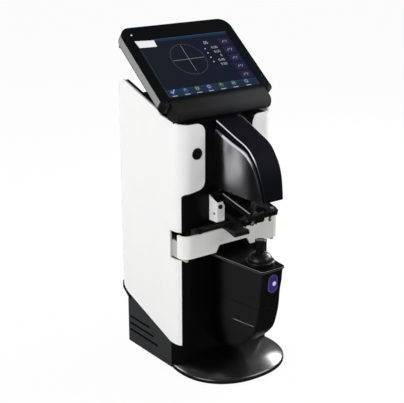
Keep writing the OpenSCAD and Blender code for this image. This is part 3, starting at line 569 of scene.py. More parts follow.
@dataclass(frozen=True)
class HolderFinish(Moulding):
    """Holder plastic with a painted highlight along its left rim."""

    hinge: Flat = (-32.9, 251.5)
    slope: float = math.radians(13.1)
    rim: float = 20.9
    rim_top: float = 4.0
    worn: Colour = (0.5, 0.5, 0.5)

    def tint(self, graph: Graph, base: Socket) -> Socket:
        """The holder's colour with the painted highlight.

        Args:
            graph: The material's node tree.
            base: The plain colour.

        Returns:
            The colour.
        """
        # Painted highlight: a pale line along the top of the left rim.
        back, high = graph.axis(1) - self.hinge[0], graph.axis(2) - self.hinge[1]
        out = high * math.cos(self.slope) - back * math.sin(self.slope)
        left = (graph.axis(0) * -1.0).step(self.rim, self.rim + 0.3)
        return graph.mix(left * out.step(self.rim_top - 0.2, self.rim_top), base, self.worn)


@dataclass(frozen=True)
class VentedFinish(Moulding):
    """Textured plinth with black painted shade round its three side slots."""

    slots: int = 3
    first: float = 41.5
    pitch: float = 10.4
    start: float = 52.6
    lead: float = 10.0
    half: float = 1.75
    end: float = 103.1
    black: Colour = (0.001, 0.001, 0.001)

    def tint(self, graph: Graph, base: Socket) -> Socket:
        """The plinth's colour with its dark slots.

        Args:
            graph: The material's node tree.
            base: The plain colour.

        Returns:
            The colour.
        """
        # Painted shade: the slots and their edges are darkened to black, where shade falls inside them.
        y, z = graph.axis(1), graph.axis(2)
        dark: Value = 0.0
        for i in range(self.slots):
            near = 1.0 - abs(z - (self.first - self.pitch * i)).step(self.half - 0.3, self.half)
            begin = self.start - self.lead * i
            dark = near * y.step(begin, begin + 0.5) * (1.0 - y.step(self.end, self.end + 0.4)) + dark
        return graph.mix(dark, base, self.black)


@dataclass(frozen=True)
class TableFinish(Moulding):
    """White bumper with painted shade towards its right end, where the head's shadow falls."""

    handled: Colour = (0.6, 0.6, 0.575)
    reach: Flat = (-10.0, 50.0)

    def tint(self, graph: Graph, base: Socket) -> Socket:
        """The bumper's white with painted shade towards the right."""
        # Painted shade: greyer to the right, standing in for the head's shadow.
        return graph.mix(graph.axis(0).step(*self.reach), base, self.handled)


@dataclass(frozen=True)
class PolishedFinish(Moulding):
    """Polished nose whose mirror colour is darker towards its front, as painted shade, with its gloss
    drawn out along its height.
    """

    metallic: float = 1.0
    drawn: float = 0.9
    dull: Colour = (0.08, 0.08, 0.09)
    dull_fade: Flat = (53.0, 74.0)

    def tint(self, graph: Graph, base: Socket) -> Socket:
        """The nose's mirror colour, with painted shade towards the front."""
        # Painted shade: the front reflects less, standing in for the darker reflection there.
        return graph.mix(graph.depth().step(*self.dull_fade), base, self.dull)


@dataclass(frozen=True)
class Metal(Finish):
    """Turned, brushed or blackened metal."""

    roughness: float = 0.3
    stretch: Point = (1.0, 1.0, 1.0)
    grain: float = 0.25
    stain: float = 7.0

    def sockets(self, graph: Graph) -> dict[str, Any]:
        """Values and links of the shader's sockets.

        Args:
            graph: The material's node tree.

        Returns:
            What each socket gets, by name.
        """
        lines = graph.noise(self.grain, 2.0, self.stretch)
        stain = graph.noise(self.stain, 3.0)
        return {
            "Base Color": graph.mix(lines * 0.6 + stain * 0.4, self.shade(0.8), self.colour),
            "Metallic": 1.0,
            "Roughness": (lines - 0.5) * 0.12 + (stain - 0.5) * 0.1 + self.roughness,
            "Normal": graph.bump(lines, 0.004),
        }


@dataclass(frozen=True)
class ClearGlass(Finish):
    """Coated lens or window glass with faint smears."""

    roughness: float = 0.04

    def sockets(self, graph: Graph) -> dict[str, Any]:
        """Values and links of the shader's sockets.

        Args:
            graph: The material's node tree.

        Returns:
            What each socket gets, by name.
        """
        smear = graph.noise(3.0, 3.0)
        return {
            "Base Color": graph.mix(smear, self.colour, self.shade(0.92)),
            "Roughness": smear * 0.05 + self.roughness,
            "Transmission Weight": 0.85,
            "IOR": 1.5,
            "Coat Weight": 0.4,
        }


@dataclass(frozen=True)
class Glow(Finish):
    """A lit part of the screen, seen through clear glass."""

    strength: float = 1.0
    falloff: float = 0.25
    unlit: Colour = (0.004, 0.004, 0.005)
    unlit_pale: Colour = (0.008, 0.008, 0.01)

    def sockets(self, graph: Graph) -> dict[str, Any]:
        """Values and links of the shader's sockets.

        Args:
            graph: The material's node tree.

        Returns:
            What each socket gets, by name.
        """
        cells = graph.noise(0.6, 1.0)
        sheen = graph.noise(16.0)
        dim = self.shade(1 - self.falloff)
        return {
            "Base Color": graph.mix(cells, self.unlit, self.unlit_pale),
            "Roughness": sheen * 0.1 + 0.2,
            "Specular IOR Level": 0.06,
            "Emission Color": graph.mix(cells * 0.4 + sheen * 0.6, dim, self.colour),
            "Emission Strength": self.strength,
        }


@dataclass(frozen=True)
class ScreenImage(Finish):
    """Dark panel that is lit a little more towards its right."""

    width: float = 154.0
    lit_left: Colour = (0.0065, 0.0085, 0.0135)
    lit_right: Colour = (0.004, 0.0075, 0.021)
    lit_cell: Colour = (0.004, 0.006, 0.011)
    unlit: Colour = (0.002, 0.0025, 0.004)
    unlit_pale: Colour = (0.004, 0.0045, 0.006)

    def sockets(self, graph: Graph) -> dict[str, Any]:
        """Values and links of the shader's sockets.

        Args:
            graph: The material's node tree.

        Returns:
            What each socket gets, by name.
        """
        across = (graph.axis(0) + self.width / 2) * (1 / self.width)
        cells = graph.noise(0.5, 1.0)
        lit = graph.mix(across, self.lit_left, self.lit_right)
        return {
            "Base Color": graph.mix(cells, self.unlit, self.unlit_pale),
            "Roughness": graph.noise(18.0) * 0.12 + 0.16,
            "Specular IOR Level": 0.06,
            "Emission Color": graph.mix(cells * 0.3, lit, self.lit_cell),
            "Emission Strength": 1.0,
        }


@dataclass(frozen=True)
class KeyVioletFinish(Finish):
    """Violet key with a paler rim and a pale round spot in its dish."""

    middle: float = 147.0
    straight: float = 5.0
    rim: Flat = (5.9, 6.9)
    rim_colour: Colour = (0.12, 0.1, 0.34)
    spot: Flat = (2.4, 146.4)
    spot_edge: Flat = (2.7, 3.5)
    spot_colour: Colour = (0.6, 0.56, 0.82)
    spot_light: Colour = (0.75, 0.7, 1.0)

    def sockets(self, graph: Graph) -> dict[str, Any]:
        """Values and links of the shader's sockets.

        Args:
            graph: The material's node tree.

        Returns:
            What each socket gets, by name.
        """
        x, z = graph.axis(0), graph.axis(2)
        tall = (abs(z - self.middle) - self.straight).at_least(0.0)
        rim = ((x * x + tall * tall) ** 0.5).step(*self.rim)
        off_x, off_z = x - self.spot[0], z - self.spot[1]
        spot = 1.0 - ((off_x * off_x + off_z * off_z) ** 0.5).step(*self.spot_edge)
        grain = graph.noise(0.4)
        body = graph.mix(grain * 0.5, self.colour, self.shade(0.8))
        rimmed = graph.mix(rim * 0.6, body, self.rim_colour)
        return {
            "Base Color": graph.mix(spot, rimmed, self.spot_colour),
            "Roughness": grain * 0.08 + 0.3,
            "Emission Color": graph.mix(spot, (0.0, 0.0, 0.0), self.spot_light),
            "Emission Strength": 0.12,
            "Normal": graph.bump(grain, 0.004),
        }


@dataclass(frozen=True)
class PaintedEdgeHighlight(Finish):
    """Painted highlight along a rounded edge, fading out towards the nose's lower end."""

    bright: float = 316.0
    dark: float = 302.0
    faded: Colour = (0.004, 0.004, 0.005)

    def sockets(self, graph: Graph) -> dict[str, Any]:
        """Values and links of the shader's sockets.

        Args:
            graph: The material's node tree.

        Returns:
            What each socket gets, by name.
        """
        # Painted highlight: a pale line on the rounded edge, fading out lower down.
        lit = graph.axis(2).step(self.dark, self.bright) * (graph.noise(12.0) * 0.5 + 0.75)
        return {
            "Base Color": graph.mix(lit, self.faded, self.colour),
            "Roughness": graph.noise(0.5) * 0.06 + 0.24,
            "Specular IOR Level": 0.8,
        }


@dataclass(frozen=True)
class BoardFinish(Finish):
    """Solder-masked board with tracks and pads."""

    pad: Colour = (0.6, 0.58, 0.5)
    track_scale: float = 150.0
    pad_scale: float = 320.0

    def sockets(self, graph: Graph) -> dict[str, Any]:
        """Values and links of the shader's sockets.

        Args:
            graph: The material's node tree.

        Returns:
            What each socket gets, by name.
        """
        place = graph.place()
        tracks = graph.node(
            "ShaderNodeTexBrick",
            {"offset": 0.37},
            {"Vector": place, "Scale": self.track_scale, "Mortar Size": 0.02},
            "Fac",
        )
        pads = graph.node(
            "ShaderNodeTexVoronoi", None, {"Vector": place, "Scale": self.pad_scale}, "Distance"
        ).step(0.12, 0.08)
        traced = graph.mix(tracks, self.colour, self.shade(2.1))
        return {
            "Base Color": graph.mix(pads, traced, self.pad),
            "Metallic": pads * 0.8,
            "Roughness": 0.42 - pads * 0.15,
            "Normal": graph.bump(tracks, 0.03),
        }


class Surfaces(Enum):
    """A set of finishes to choose from."""

    def material(self) -> bpy.types.Material:
        """Returns the chosen finish's material."""
        return self.value.material()


class Palette(Surfaces):
    """Every finish on the instrument, by the record's slot."""

    WHITE_SHELL = Moulding("white_shell", (0.84, 0.84, 0.835), 0.34, mottle=0.012)
    WHITE_TABLE = TableFinish("white_table", (0.83, 0.83, 0.81), 0.34, mottle=0.015)
    ARM_WHITE = Moulding("arm_white", (0.46, 0.46, 0.45), 0.4, mottle=0.03)
    PANEL_BLACK = Moulding("panel_black", (0.0027, 0.0027, 0.0029), 0.3, 0.12, mottle=0.2)
    HEAD_GLOSS = PolishedFinish("head_gloss", (0.72, 0.72, 0.75), 0.29, depth=0.001, haze=0.03)
    # Pale colour of the painted highlight on the nose's edges.
    HEAD_EDGE = PaintedEdgeHighlight("head_edge_highlight", (0.8, 0.8, 0.82))
    LID_BLACK = Moulding("lid_black", (0.004, 0.0043, 0.0064), 0.42, 0.3, 1.12, grain=0.4, depth=0.002)
    HOUSING_BLACK = HousingFinish("housing_black", (0.0135, 0.0135, 0.014), 0.4, 0.3, 1.15, grain=0.45)
    GLOSS_BLACK = Moulding(
        "gloss_black", (0.0022, 0.0022, 0.0024), 0.24, 0.8, 1.6, depth=0.002, haze=0.06, dust=0.01
    )
    SATIN_BLACK = Moulding("satin_black", (0.003, 0.003, 0.0034), 0.45, 0.3, 1.15, depth=0.008)
    REST_BLACK = Moulding("rest_black", (0.004, 0.004, 0.0042), 0.3, 0.4)
    HOLDER_BLACK = HolderFinish("holder_black", (0.0042, 0.0042, 0.0046), 0.36, 0.5, 1.18)
    PLATE_EDGE = PlateFinish("plate_edge", (0.003, 0.003, 0.0034), 0.4, 0.5, 1.08, depth=0.006)
    PAD_BLACK = Moulding("pad_black", (0.006, 0.006, 0.0065), 0.42, 0.3, depth=0.012)
    BUTTON_BLACK = Moulding("button_black", (0.003, 0.003, 0.0033), 0.3, 0.3)
    BEZEL_GREY = BezelFinish(
        "bezel_grey", (0.0032, 0.0038, 0.0043), 0.42, 0.2, 1.15, grain=0.35, depth=0.01, mottle=0.12
    )
    SILVER_BAND = BandFinish(
        "silver_band", (0.27, 0.27, 0.275), 0.34, 0.5, grain=0.3, depth=0.004, mottle=0.06
    )
    BASE_GREY = VentedFinish(
        "base_grey", (0.03, 0.031, 0.033), 0.5, 0.3, grain=0.6, depth=0.02, dust=0.02
    )
    RAIL_GREY = Moulding("rail_grey", (0.022, 0.022, 0.022), 0.45, 0.35, mottle=0.15)
    SOCKET_BLACK = Moulding("socket_black", (0.004, 0.004, 0.004), 0.45, 0.3)
    FEET = Moulding("feet", (0.012, 0.012, 0.012), 0.8, 0.3, grain=0.8, depth=0.04)
    STEEL = Metal("steel", (0.62, 0.63, 0.65), 0.24)
    DARK_STEEL = Metal("dark_steel", (0.09, 0.09, 0.095), 0.35)
    ALLOY = Metal("alloy", (0.55, 0.56, 0.57), 0.38, (1.0, 1.0, 0.05))
    BOARD = BoardFinish("board", (0.012, 0.07, 0.03))
    OPTIC_GLASS = ClearGlass("optic_glass", (0.86, 0.93, 0.97))
    SCREEN = ScreenImage("screen", (0.02, 0.03, 0.06))
    LAMP = Glow("lamp", (0.95, 1.0, 0.9), 0.9)
    BUTTON_VIOLET = KeyVioletFinish("button_violet", (0.025, 0.011, 0.16))


class Light(Surfaces):
    """Lit colours of the screen and the blank paper sticker."""

    BAR = Glow("screen_bar", (0.011, 0.034, 0.082), 1.0, 0.7)
    BAR_EDGE = Glow("screen_bar_edge", (0.035, 0.085, 0.145), 1.0, 0.6)
    LINE = Glow("screen_line", (0.36, 0.36, 0.33), 1.0, 0.3)
    DIAL = Glow("screen_ring", (0.085, 0.1, 0.115), 1.0, 0.8)
    DIGIT = Glow("screen_digit", (0.42, 0.45, 0.48), 1.0, 0.2)
    KEY = Glow("screen_key", (0.022, 0.019, 0.085), 1.0, 0.8)
    BLUE = Glow("screen_blue", (0.025, 0.07, 0.22), 1.0, 0.5)
    GREEN = Glow("screen_green", (0.03, 0.12, 0.04), 1.0, 0.5)
    PALE = Glow("screen_pale", (0.40, 0.43, 0.48), 1.0, 0.3)
    PAPER = Moulding("blank_paper", (0.86, 0.86, 0.86), 0.75, 0.2, grain=0.3, mottle=0.02)


# Meshes

WELD = 1e-7
PLATE_CREASE = 30.0
CREASE = 35.0
MOULD_CREASE = 40.0
CORNER_STEPS = 5


def finish_mesh(mesh: bpy.types.Mesh, crease: float) -> None:
    """Cleans a mesh and shades it smooth, apart from its sharp edges.

    Args:
        mesh: The mesh.
        crease: Smallest angle that stays sharp, in degrees.
    """
    work = bmesh.new()
    work.from_mesh(mesh)
    bmesh.ops.remove_doubles(work, verts=work.verts, dist=WELD)
    bmesh.ops.dissolve_degenerate(work, edges=work.edges, dist=WELD)
    bmesh.ops.recalc_face_normals(work, faces=work.faces)
    work.to_mesh(mesh)
    work.free()
    mesh.polygons.foreach_set("use_smooth", [True] * len(mesh.polygons))
    mesh.set_sharp_from_angle(angle=math.radians(crease))
    mesh.update()


def add_piece(
    name: str,
    points: Sequence[Sequence[float]],
    faces: Sequence[Sequence[int]],
    material: bpy.types.Material,
    crease: float = CREASE,
    frame: Optional[Matrix] = None,
) -> bpy.types.Object:
    """Makes a mesh object.

    Args:
        name: Name of the piece.
        points: Its vertices, in metres.
        faces: Its faces.
        material: Its finish.
        crease: Smallest angle that stays sharp, in degrees.
        frame: Where the object stands, if not at the origin.

    Returns:
        The new object.
    """
    mesh = bpy.data.meshes.new(name)
    mesh.from_pydata([tuple(p) for p in points], [], [tuple(f) for f in faces])
    finish_mesh(mesh, crease)
    mesh.materials.append(material)
    piece = bpy.data.objects.new(name, mesh)
    bpy.context.scene.collection.objects.link(piece)
    if frame is not None:
        piece.matrix_world = frame
    return piece


def skin_faces(rings: int, count: int) -> list[tuple[int, ...]]:
    """Faces of a closed skin over rings, with a cap at both ends.

    Args:
        rings: Number of rings.
        count: Points in each ring.

    Returns:
        The faces.
    """
    faces: list[tuple[int, ...]] = [tuple(reversed(range(count)))]
    for j in range(rings - 1):
        for i in range(count):
            k = (i + 1) % count
            faces.append((j * count + i, j * count + k, (j + 1) * count + k, (j + 1) * count + i))
    faces.append(tuple((rings - 1) * count + i for i in range(count)))
    return faces


def skin_piece(name: str, rings: Sequence[Sequence[Point]], finish: Palette) -> bpy.types.Object:
    """Makes a closed moulding over rings.

    Args:
        name: Name of the piece.
        rings: Its rings, in the drawing's millimetres, all with the same number of points.
        finish: Its finish.

    Returns:
        The piece.
    """
    points = [part_point(p) for ring in rings for p in ring]
    faces = skin_faces(len(rings), len(rings[0]))
    return add_piece(name, points, faces, finish.material(), MOULD_CREASE)


def prism(
    outline: Sequence[Flat], low: float, high: float
) -> tuple[list[Point], list[tuple[int, ...]]]:
    """A closed plate with a given outline.

    Args:
        outline: Its outline, in the plane of its first two axes.
        low: Lower face.
        high: Upper face.

    Returns:
        Points and faces.
    """
    points = [(x, y, low) for x, y in outline] + [(x, y, high) for x, y in outline]
    return points, skin_faces(2, len(outline))


def cut_away(
    piece: bpy.types.Object, outline: Sequence[Flat], low: float, high: float, forward: bool = False
) -> None:
    """Cuts a straight hole or step into a moulding.

    Args:
        piece: What is cut.
        outline: Outline of the cut, in plan, or as seen from the front.
        low: Where it starts: a height, or a distance in front of the front plane.
        high: Where it ends.
        forward: Whether the outline is seen from the front.
    """
    points, faces = prism(outline, low, high)
    if forward:
        points = [(x, -out, z) for x, z, out in points]
    material = piece.data.materials[0]
    tool = add_piece(f"{piece.name}_cut", [part_point(p) for p in points], faces, material)
    cut = piece.modifiers.new("cut", "BOOLEAN")
    cut.operation = "DIFFERENCE"
    cut.solver = "EXACT"
    cut.object = tool
    bpy.context.view_layer.update()
    graph = bpy.context.evaluated_depsgraph_get()
    mesh = bpy.data.meshes.new_from_object(piece.evaluated_get(graph))
    piece.modifiers.clear()
    piece.data = mesh
    finish_mesh(mesh, MOULD_CREASE)
    bpy.data.objects.remove(tool)


def rounded_box(centre: Flat, size: Flat, radius: float) -> list[Flat]:
    """Outline of a rectangle with round corners.

    Args:
        centre: Its middle.
        size: Its width and height.
        radius: Radius of its corners.

    Returns:
        The outline.
    """
    w, h = size[0] / 2 - radius, size[1] / 2 - radius
    outline: list[Flat] = []
    for turn, (sx, sy) in enumerate(((1, 1), (-1, 1), (-1, -1), (1, -1))):
        corner = (centre[0] + sx * w, centre[1] + sy * h)
        outline += arc(corner, radius, turn * 90, turn * 90 + 90, CORNER_STEPS)
    return outline


def disc(centre: Flat, radius: float, count: int) -> list[Flat]:
    """Outline of a circle with a number of points."""
    return arc(centre, radius, 0, 360 - 360 / count, count - 1)


# The instrument's own mouldings

OPTICAL_AXIS = (0.0, -67.0)
LidRow = tuple[float, float, float, float, float]


@dataclass
class UpperHousing:
    """The nose above the lens: a polished body under a satin lid.

    Each row of the lid's table holds the outer line's depth and height, the inner line's depth and
    height, and the share of the half width.
    """

    underside: float = 258.5
    half_width: float = 24.0
    lid_half: float = 22.0
    lid_steps: int = 5
    lid_edge: float = 1.7
    overlap: float = 0.2
    stations: int = 64
    length: float = 89.9
    shoulder_radius: float = 3.5
    bore_radius: float = 12.0
    bore_span: Flat = (240.0, 262.5)
    hidden: float = -0.04
    tuck: Flat = (2.2, 1.4)
    share: Table = (
        (0, 0.985), (30, 0.985), (62, 0.975), (72, 0.94), (80, 0.875), (86.5, 0.79), (89.9, 0.72),
    )
    lid: Sequence[LidRow] = (
        (0, 349.5, 0, 338.8, 1.0), (20, 341.8, 20, 331, 0.985), (40, 333.8, 40, 324.6, 0.955),
        (56, 327.6, 55, 320.3, 0.92), (64, 322.8, 62, 317.3, 0.9), (71, 316, 68, 312.6, 0.875),
        (77, 308, 74.2, 305.8, 0.85), (81.5, 300, 78.7, 298.4, 0.825),
        (85, 292, 82.2, 290.8, 0.8), (88, 282.5, 85.2, 281.6, 0.77),
        (90.3, 271, 87.6, 270.5, 0.73), (92, 262, 89.3, 261.7, 0.69),
        (92.6, 258.8, 89.9, 258.8, 0.66),
    )

    def shoulder(self, depth: float) -> float:
        """Height of the body's top at a depth."""
        return smooth_value([(p[2], p[3]) for p in self.lid], depth)

    def ring(self, depth: float) -> list[Point]:
        """Section of the body at a depth in front of the front plane.

        Args:
            depth: That depth.

        Returns:
            Its points, from the lower left over the top to the lower right.
        """
        w = self.half_width * smooth_value(self.share, depth)
        low, top = self.underside, self.shoulder(depth) - self.overlap
        r = min(self.shoulder_radius, (top - low) * 0.45)
        under, above = self.tuck
        side: list[Flat] = [(-w + under, low), (-w + above, low + 0.5)]
        side += [(-w + above - t, low + (top - low) * t / 2) for t in (0.25, 0.5, 0.75, 1.0)]
        side += arc((-w + r, top - r), r, 180, 90, 8)
        both = side + [(-x, z) for x, z in reversed(side)]
        return [(x, -depth, z) for x, z in both]

    def build(self) -> bpy.types.Object:
        """Makes the polished body, with the hole under the light source.

        Returns:
            The body.
        """
        depths = [self.length * (i / self.stations) ** 0.9 for i in range(self.stations + 1)]
        piece = skin_piece("head_moulding", [self.ring(d) for d in depths], Palette.HEAD_GLOSS)
        cut_away(piece, disc(OPTICAL_AXIS, self.bore_radius, 64), *self.bore_span)
        # Painted highlight on the body's rounded shoulder.
        self.polish(piece, lambda c, n: n.z > 0.3 and abs(n.x) > 0.25 and c.y < self.hidden)
        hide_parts("head_housing")
        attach(piece, "cabinet")
        return piece

    def polish(self, piece: bpy.types.Object, chosen: Callable[[Vector, Vector], bool]) -> None:
        """Gives a piece's rounded edge the material of its painted highlight.

        Args:
            piece: The piece.
            chosen: Whether a face, by its middle and its normal, belongs to the edge.
        """
        piece.data.materials.append(Palette.HEAD_EDGE.material())
        for face in piece.data.polygons:
            if chosen(face.center, face.normal):
                face.material_index = 1

    def lid_row(self, t: float) -> LidRow:
        """Outer and inner line of the lid at a share of its length.

        Args:
            t: Place along the lid, in entries of its table.

        Returns:
            Outer depth and height, inner depth and height, and share of the half width.
        """
        columns = [[(float(i), row[k]) for i, row in enumerate(self.lid)] for k in range(5)]
        return tuple(smooth_value(column, t) for column in columns)

    def lid_ring(self, t: float) -> list[Point]:
        """Section of the lid, across its own slope.

        Args:
            t: Place along the lid, in entries of its table.

        Returns:
            Its points, from the left underside over the top to the right underside.
        """
        out_d, out_z, in_d, in_z, share = self.lid_row(t)
        w = self.lid_half * share
        outer, inner = Vector((-out_d, out_z)), Vector((-in_d, in_z))
        thick = (outer - inner).length
        up = (outer - inner) / thick
        r = min(self.lid_edge, thick * 0.42)
        half = [(-w + 0.5, 0.0), (-w, 0.4), (-w, max(thick - r, 0.5))]
        half += arc((-w + r, thick - r), r, 168, 90, 6)
        half += [(-w * k, thick) for k in (0.66, 0.33)]
        both = half + [(-x, n) for x, n in reversed(half)]
        return [(x, inner.x + up.x * n, inner.y + up.y * n) for x, n in both]

    def build_lid(self) -> bpy.types.Object:
        """Makes the lid, with a painted highlight on its rounded upper edge.

        Returns:
            The lid.
        """
        count = (len(self.lid) - 1) * self.lid_steps
        rings = [self.lid_ring(i / self.lid_steps) for i in range(count + 1)]
        piece = skin_piece("head_lid_moulding", rings, Palette.LID_BLACK)
        # Painted highlight on the lid's rounded upper edge.
        self.polish(piece, lambda c, n: 0.25 < abs(n.x) < 0.93 and n.z > 0.1)
        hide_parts("head_lid")
        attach(piece, "cabinet")
        return piece


@dataclass
class LowerHousing:
    """The camera housing under the lens rest: a straight upper part and a tapering keel."""

    front_half: float = 18.7
    root_half: float = 29.0
    split: float = 112.0
    top: float = 164.5
    corner: float = 6.0
    seam: float = 0.3
    soft_edge: float = 0.35
    narrow: float = 0.66
    full_height: float = 80.0
    upper_steps: int = 18
    lower_steps: int = 34
    key_radius: float = 7.8
    key_span: Flat = (142.0, 152.0)
    key_reach: Flat = (82.0, 100.0)
    keel: Table = (
        (33, 24), (36, 32), (40, 39), (47, 49), (54.4, 57.6), (65, 69.8), (77.6, 79.6),
        (94.3, 85.1), (110, 88.6), (132, 90.4), (147.4, 93.2), (164.7, 94.6),
    )

    def share(self, z: float) -> float:
        """Width at a height, as a share of the full one.

        Args:
            z: The height.

        Returns:
            The share.
        """
        low = self.keel[0][0]
        if z >= self.full_height:
            return 1.0
        return self.narrow + (1 - self.narrow) * ((z - low) / (self.full_height - low)) ** 0.8

    def ring(self, z: float, inset: float = 0.0) -> list[Point]:
        """Plan of the housing at a height.

        Args:
            z: The height.
            inset: Distance that it is drawn smaller by.

        Returns:
            Its points, from the left root round the front to the right root.
        """
        reach = smooth_value(self.keel, z) - inset
        k = self.share(z)
        nw, rw = self.front_half * k - inset, self.root_half * k - inset
        r = min(self.corner, nw * 0.6)
        side = [(-rw + (rw - nw) * t, -reach * t) for t in (0.0, 0.2, 0.4, 0.6, 0.8)]
        side += arc((-nw + r, -reach + r), r, 180, 270, 9)
        both = side + [(-x, y) for x, y in reversed(side)]
        return [(x, y, z) for x, y in both]

    def skin(self, name: str, heights: Sequence[float]) -> bpy.types.Object:
        """Skins the plans at some heights, with a small round edge at both ends.

        Args:
            name: Name of the piece.
            heights: The heights, in rising order.

        Returns:
            The piece.
        """
        low, high, edge = heights[0], heights[-1], self.soft_edge
        rings = [self.ring(low, edge), [(x, y, low + edge) for x, y, _ in self.ring(low)]]
        rings += [self.ring(z) for z in heights[1:-1]]
        rings += [[(x, y, high - edge) for x, y, _ in self.ring(high)], self.ring(high, edge)]
        return skin_piece(name, rings, Palette.HOUSING_BLACK)

    def build(self) -> list[bpy.types.Object]:
        """Makes both parts, with the key's hole in the upper one.

        Returns:
            The upper part and the keel.
        """
        span, steps = self.top - self.split, self.upper_steps
        upper = self.skin("camera_housing", [self.split + span * i / steps for i in range(steps + 1)])
        outline = arc((0.0, self.key_span[1]), self.key_radius, 0, 180, 16)
        outline += arc((0.0, self.key_span[0]), self.key_radius, 180, 360, 16)
        cut_away(upper, outline, *self.key_reach, forward=True)
        low, steps = self.keel[0][0], self.lower_steps
        span = self.split - self.seam - low
        belly = self.skin("keel_moulding", [low + span * (i / steps) ** 1.2 for i in range(steps + 1)])
        for piece, node in ((upper, "lower_housing"), (belly, "lower_belly")):
            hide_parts(node)
            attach(piece, "cabinet")
        return [upper, belly]


@dataclass
class LensRest:
    """The bell that a lens lies on, with its column and tip."""

    base: float = 171.1
    bell: float = 16.5
    waist: float = 5.7
    tip: float = 7.0
    bore: float = 3.4
    height: float = 28.9
    dome: float = 10.0
    dome_steps: int = 12
    skirt: float = 1.8
    sides: int = 72

    def profile(self) -> list[Flat]:
        """Closed section of the bell: radius and height.

        Returns:
            Its points, from the bore over the skirt and the dome to the tip.
        """
        h, flare = self.height, self.bell - self.waist
        rows: list[Flat] = [(self.bore, 3.2), (self.bell - 2.4, 0.0), (self.bell, 0.0)]
        for i in range(self.dome_steps + 1):
            a = math.pi / 2 * i / self.dome_steps
            rows.append((self.waist + flare * math.cos(a) ** 1.35, self.skirt + self.dome * math.sin(a)))
        rows += [(self.waist, h - 7.0), (self.tip, h - 3.4), (self.tip, h - 0.6), (self.tip - 0.6, h)]
        rows += [(self.tip - 2.4, h), (self.tip - 2.4, h - 1.4), (self.bore, h - 4.0)]
        return rows

    def build(self) -> bpy.types.Object:
        """Turns the bell's section round its axis.

        Returns:
            The bell.
        """
        rows = self.profile()
        count = len(rows)
        x, y = OPTICAL_AXIS
        points, faces = [], []
        for i in range(self.sides):
            a = 2 * math.pi * i / self.sides
            c, s = math.cos(a), math.sin(a)
            points += [part_point((x + r * c, y + r * s, self.base + z)) for r, z in rows]
            j = (i + 1) % self.sides
            for k in range(count):
                m = (k + 1) % count
                faces.append((i * count + k, j * count + k, j * count + m, i * count + m))
        piece = add_piece("lens_bell", points, faces, Palette.REST_BLACK.material())
        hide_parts("lens_rest")
        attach(piece, "cabinet")
        return piece


@dataclass
class FootPlate:
    """The domed foot in front of the cabinet."""

    half_width: float = 81.0
    half_depth: float = 74.5
    centre: float = 2.4
    rim: float = 7.3
    rise: float = 14.9
    power: float = 2.22
    dome_power: float = 3.6
    floor: float = 1.5
    step: float = 6.0
    seam_depth: float = 25.6
    cabinet_half: float = 78.8
    cabinet_corner: float = 17.3
    rear: float = 90.0
    above: float = 40.0
    sides: int = 144
    shares: Sequence[float] = (
        0.987, 0.975, 0.96, 0.94, 0.915, 0.885, 0.85, 0.81, 0.77, 0.72, 0.66, 0.6, 0.53, 0.45,
        0.36, 0.26, 0.15, 0.05,
    )

    def ring(self, share: float, z: float) -> list[Point]:
        """An oval ring of the plate.

        Args:
            share: Size, as a share of the full oval.
            z: Height.

        Returns:
            Its points.
        """
        points = []
        for i in range(self.sides):
            a = 2 * math.pi * i / self.sides
            c, s = math.cos(a), math.sin(a)
            x = math.copysign(abs(c) ** (2 / self.power), c)
            y = math.copysign(abs(s) ** (2 / self.power), s)
            points.append((self.half_width * share * x, self.centre + self.half_depth * share * y, z))
        return points

    def dome(self, share: float) -> float:
        """Height of the dome at a share of the oval."""
        return self.rim + self.rise * (1 - share**self.dome_power)

    def build(self) -> bpy.types.Object:
        """Makes the plate, cut where the cabinet stands on it.

        Returns:
            The plate.
        """
        floor, rim, half, corner = self.floor, self.rim, self.cabinet_half, self.cabinet_corner
        rows = [(0.985, floor), (0.992, floor + 0.3), (0.998, floor + 0.8), (1.0, floor + 1.6)]
        rows += [(1.0, rim - 1.1), (0.9985, rim - 0.6), (0.994, rim - 0.15)]
        rows += [(share, self.dome(share)) for share in self.shares]
        piece = skin_piece("foot_dome", [self.ring(s, z) for s, z in rows], Palette.GLOSS_BLACK)
        front = [(half, self.rear), (-half, self.rear)]
        front += arc((-half + corner, corner - 0.3), corner, 180, 270, 12)
        front += arc((half - corner, corner - 0.3), corner, 270, 360, 12)
        cut_away(piece, front, self.step, self.above)
        wide, seam = self.rear, self.seam_depth
        behind = [(-wide, seam), (wide, seam), (wide, self.rear), (-wide, self.rear)]
        cut_away(piece, behind, 0.0, self.above)
        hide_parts("base_plate")
        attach(piece, "cabinet")
        return piece


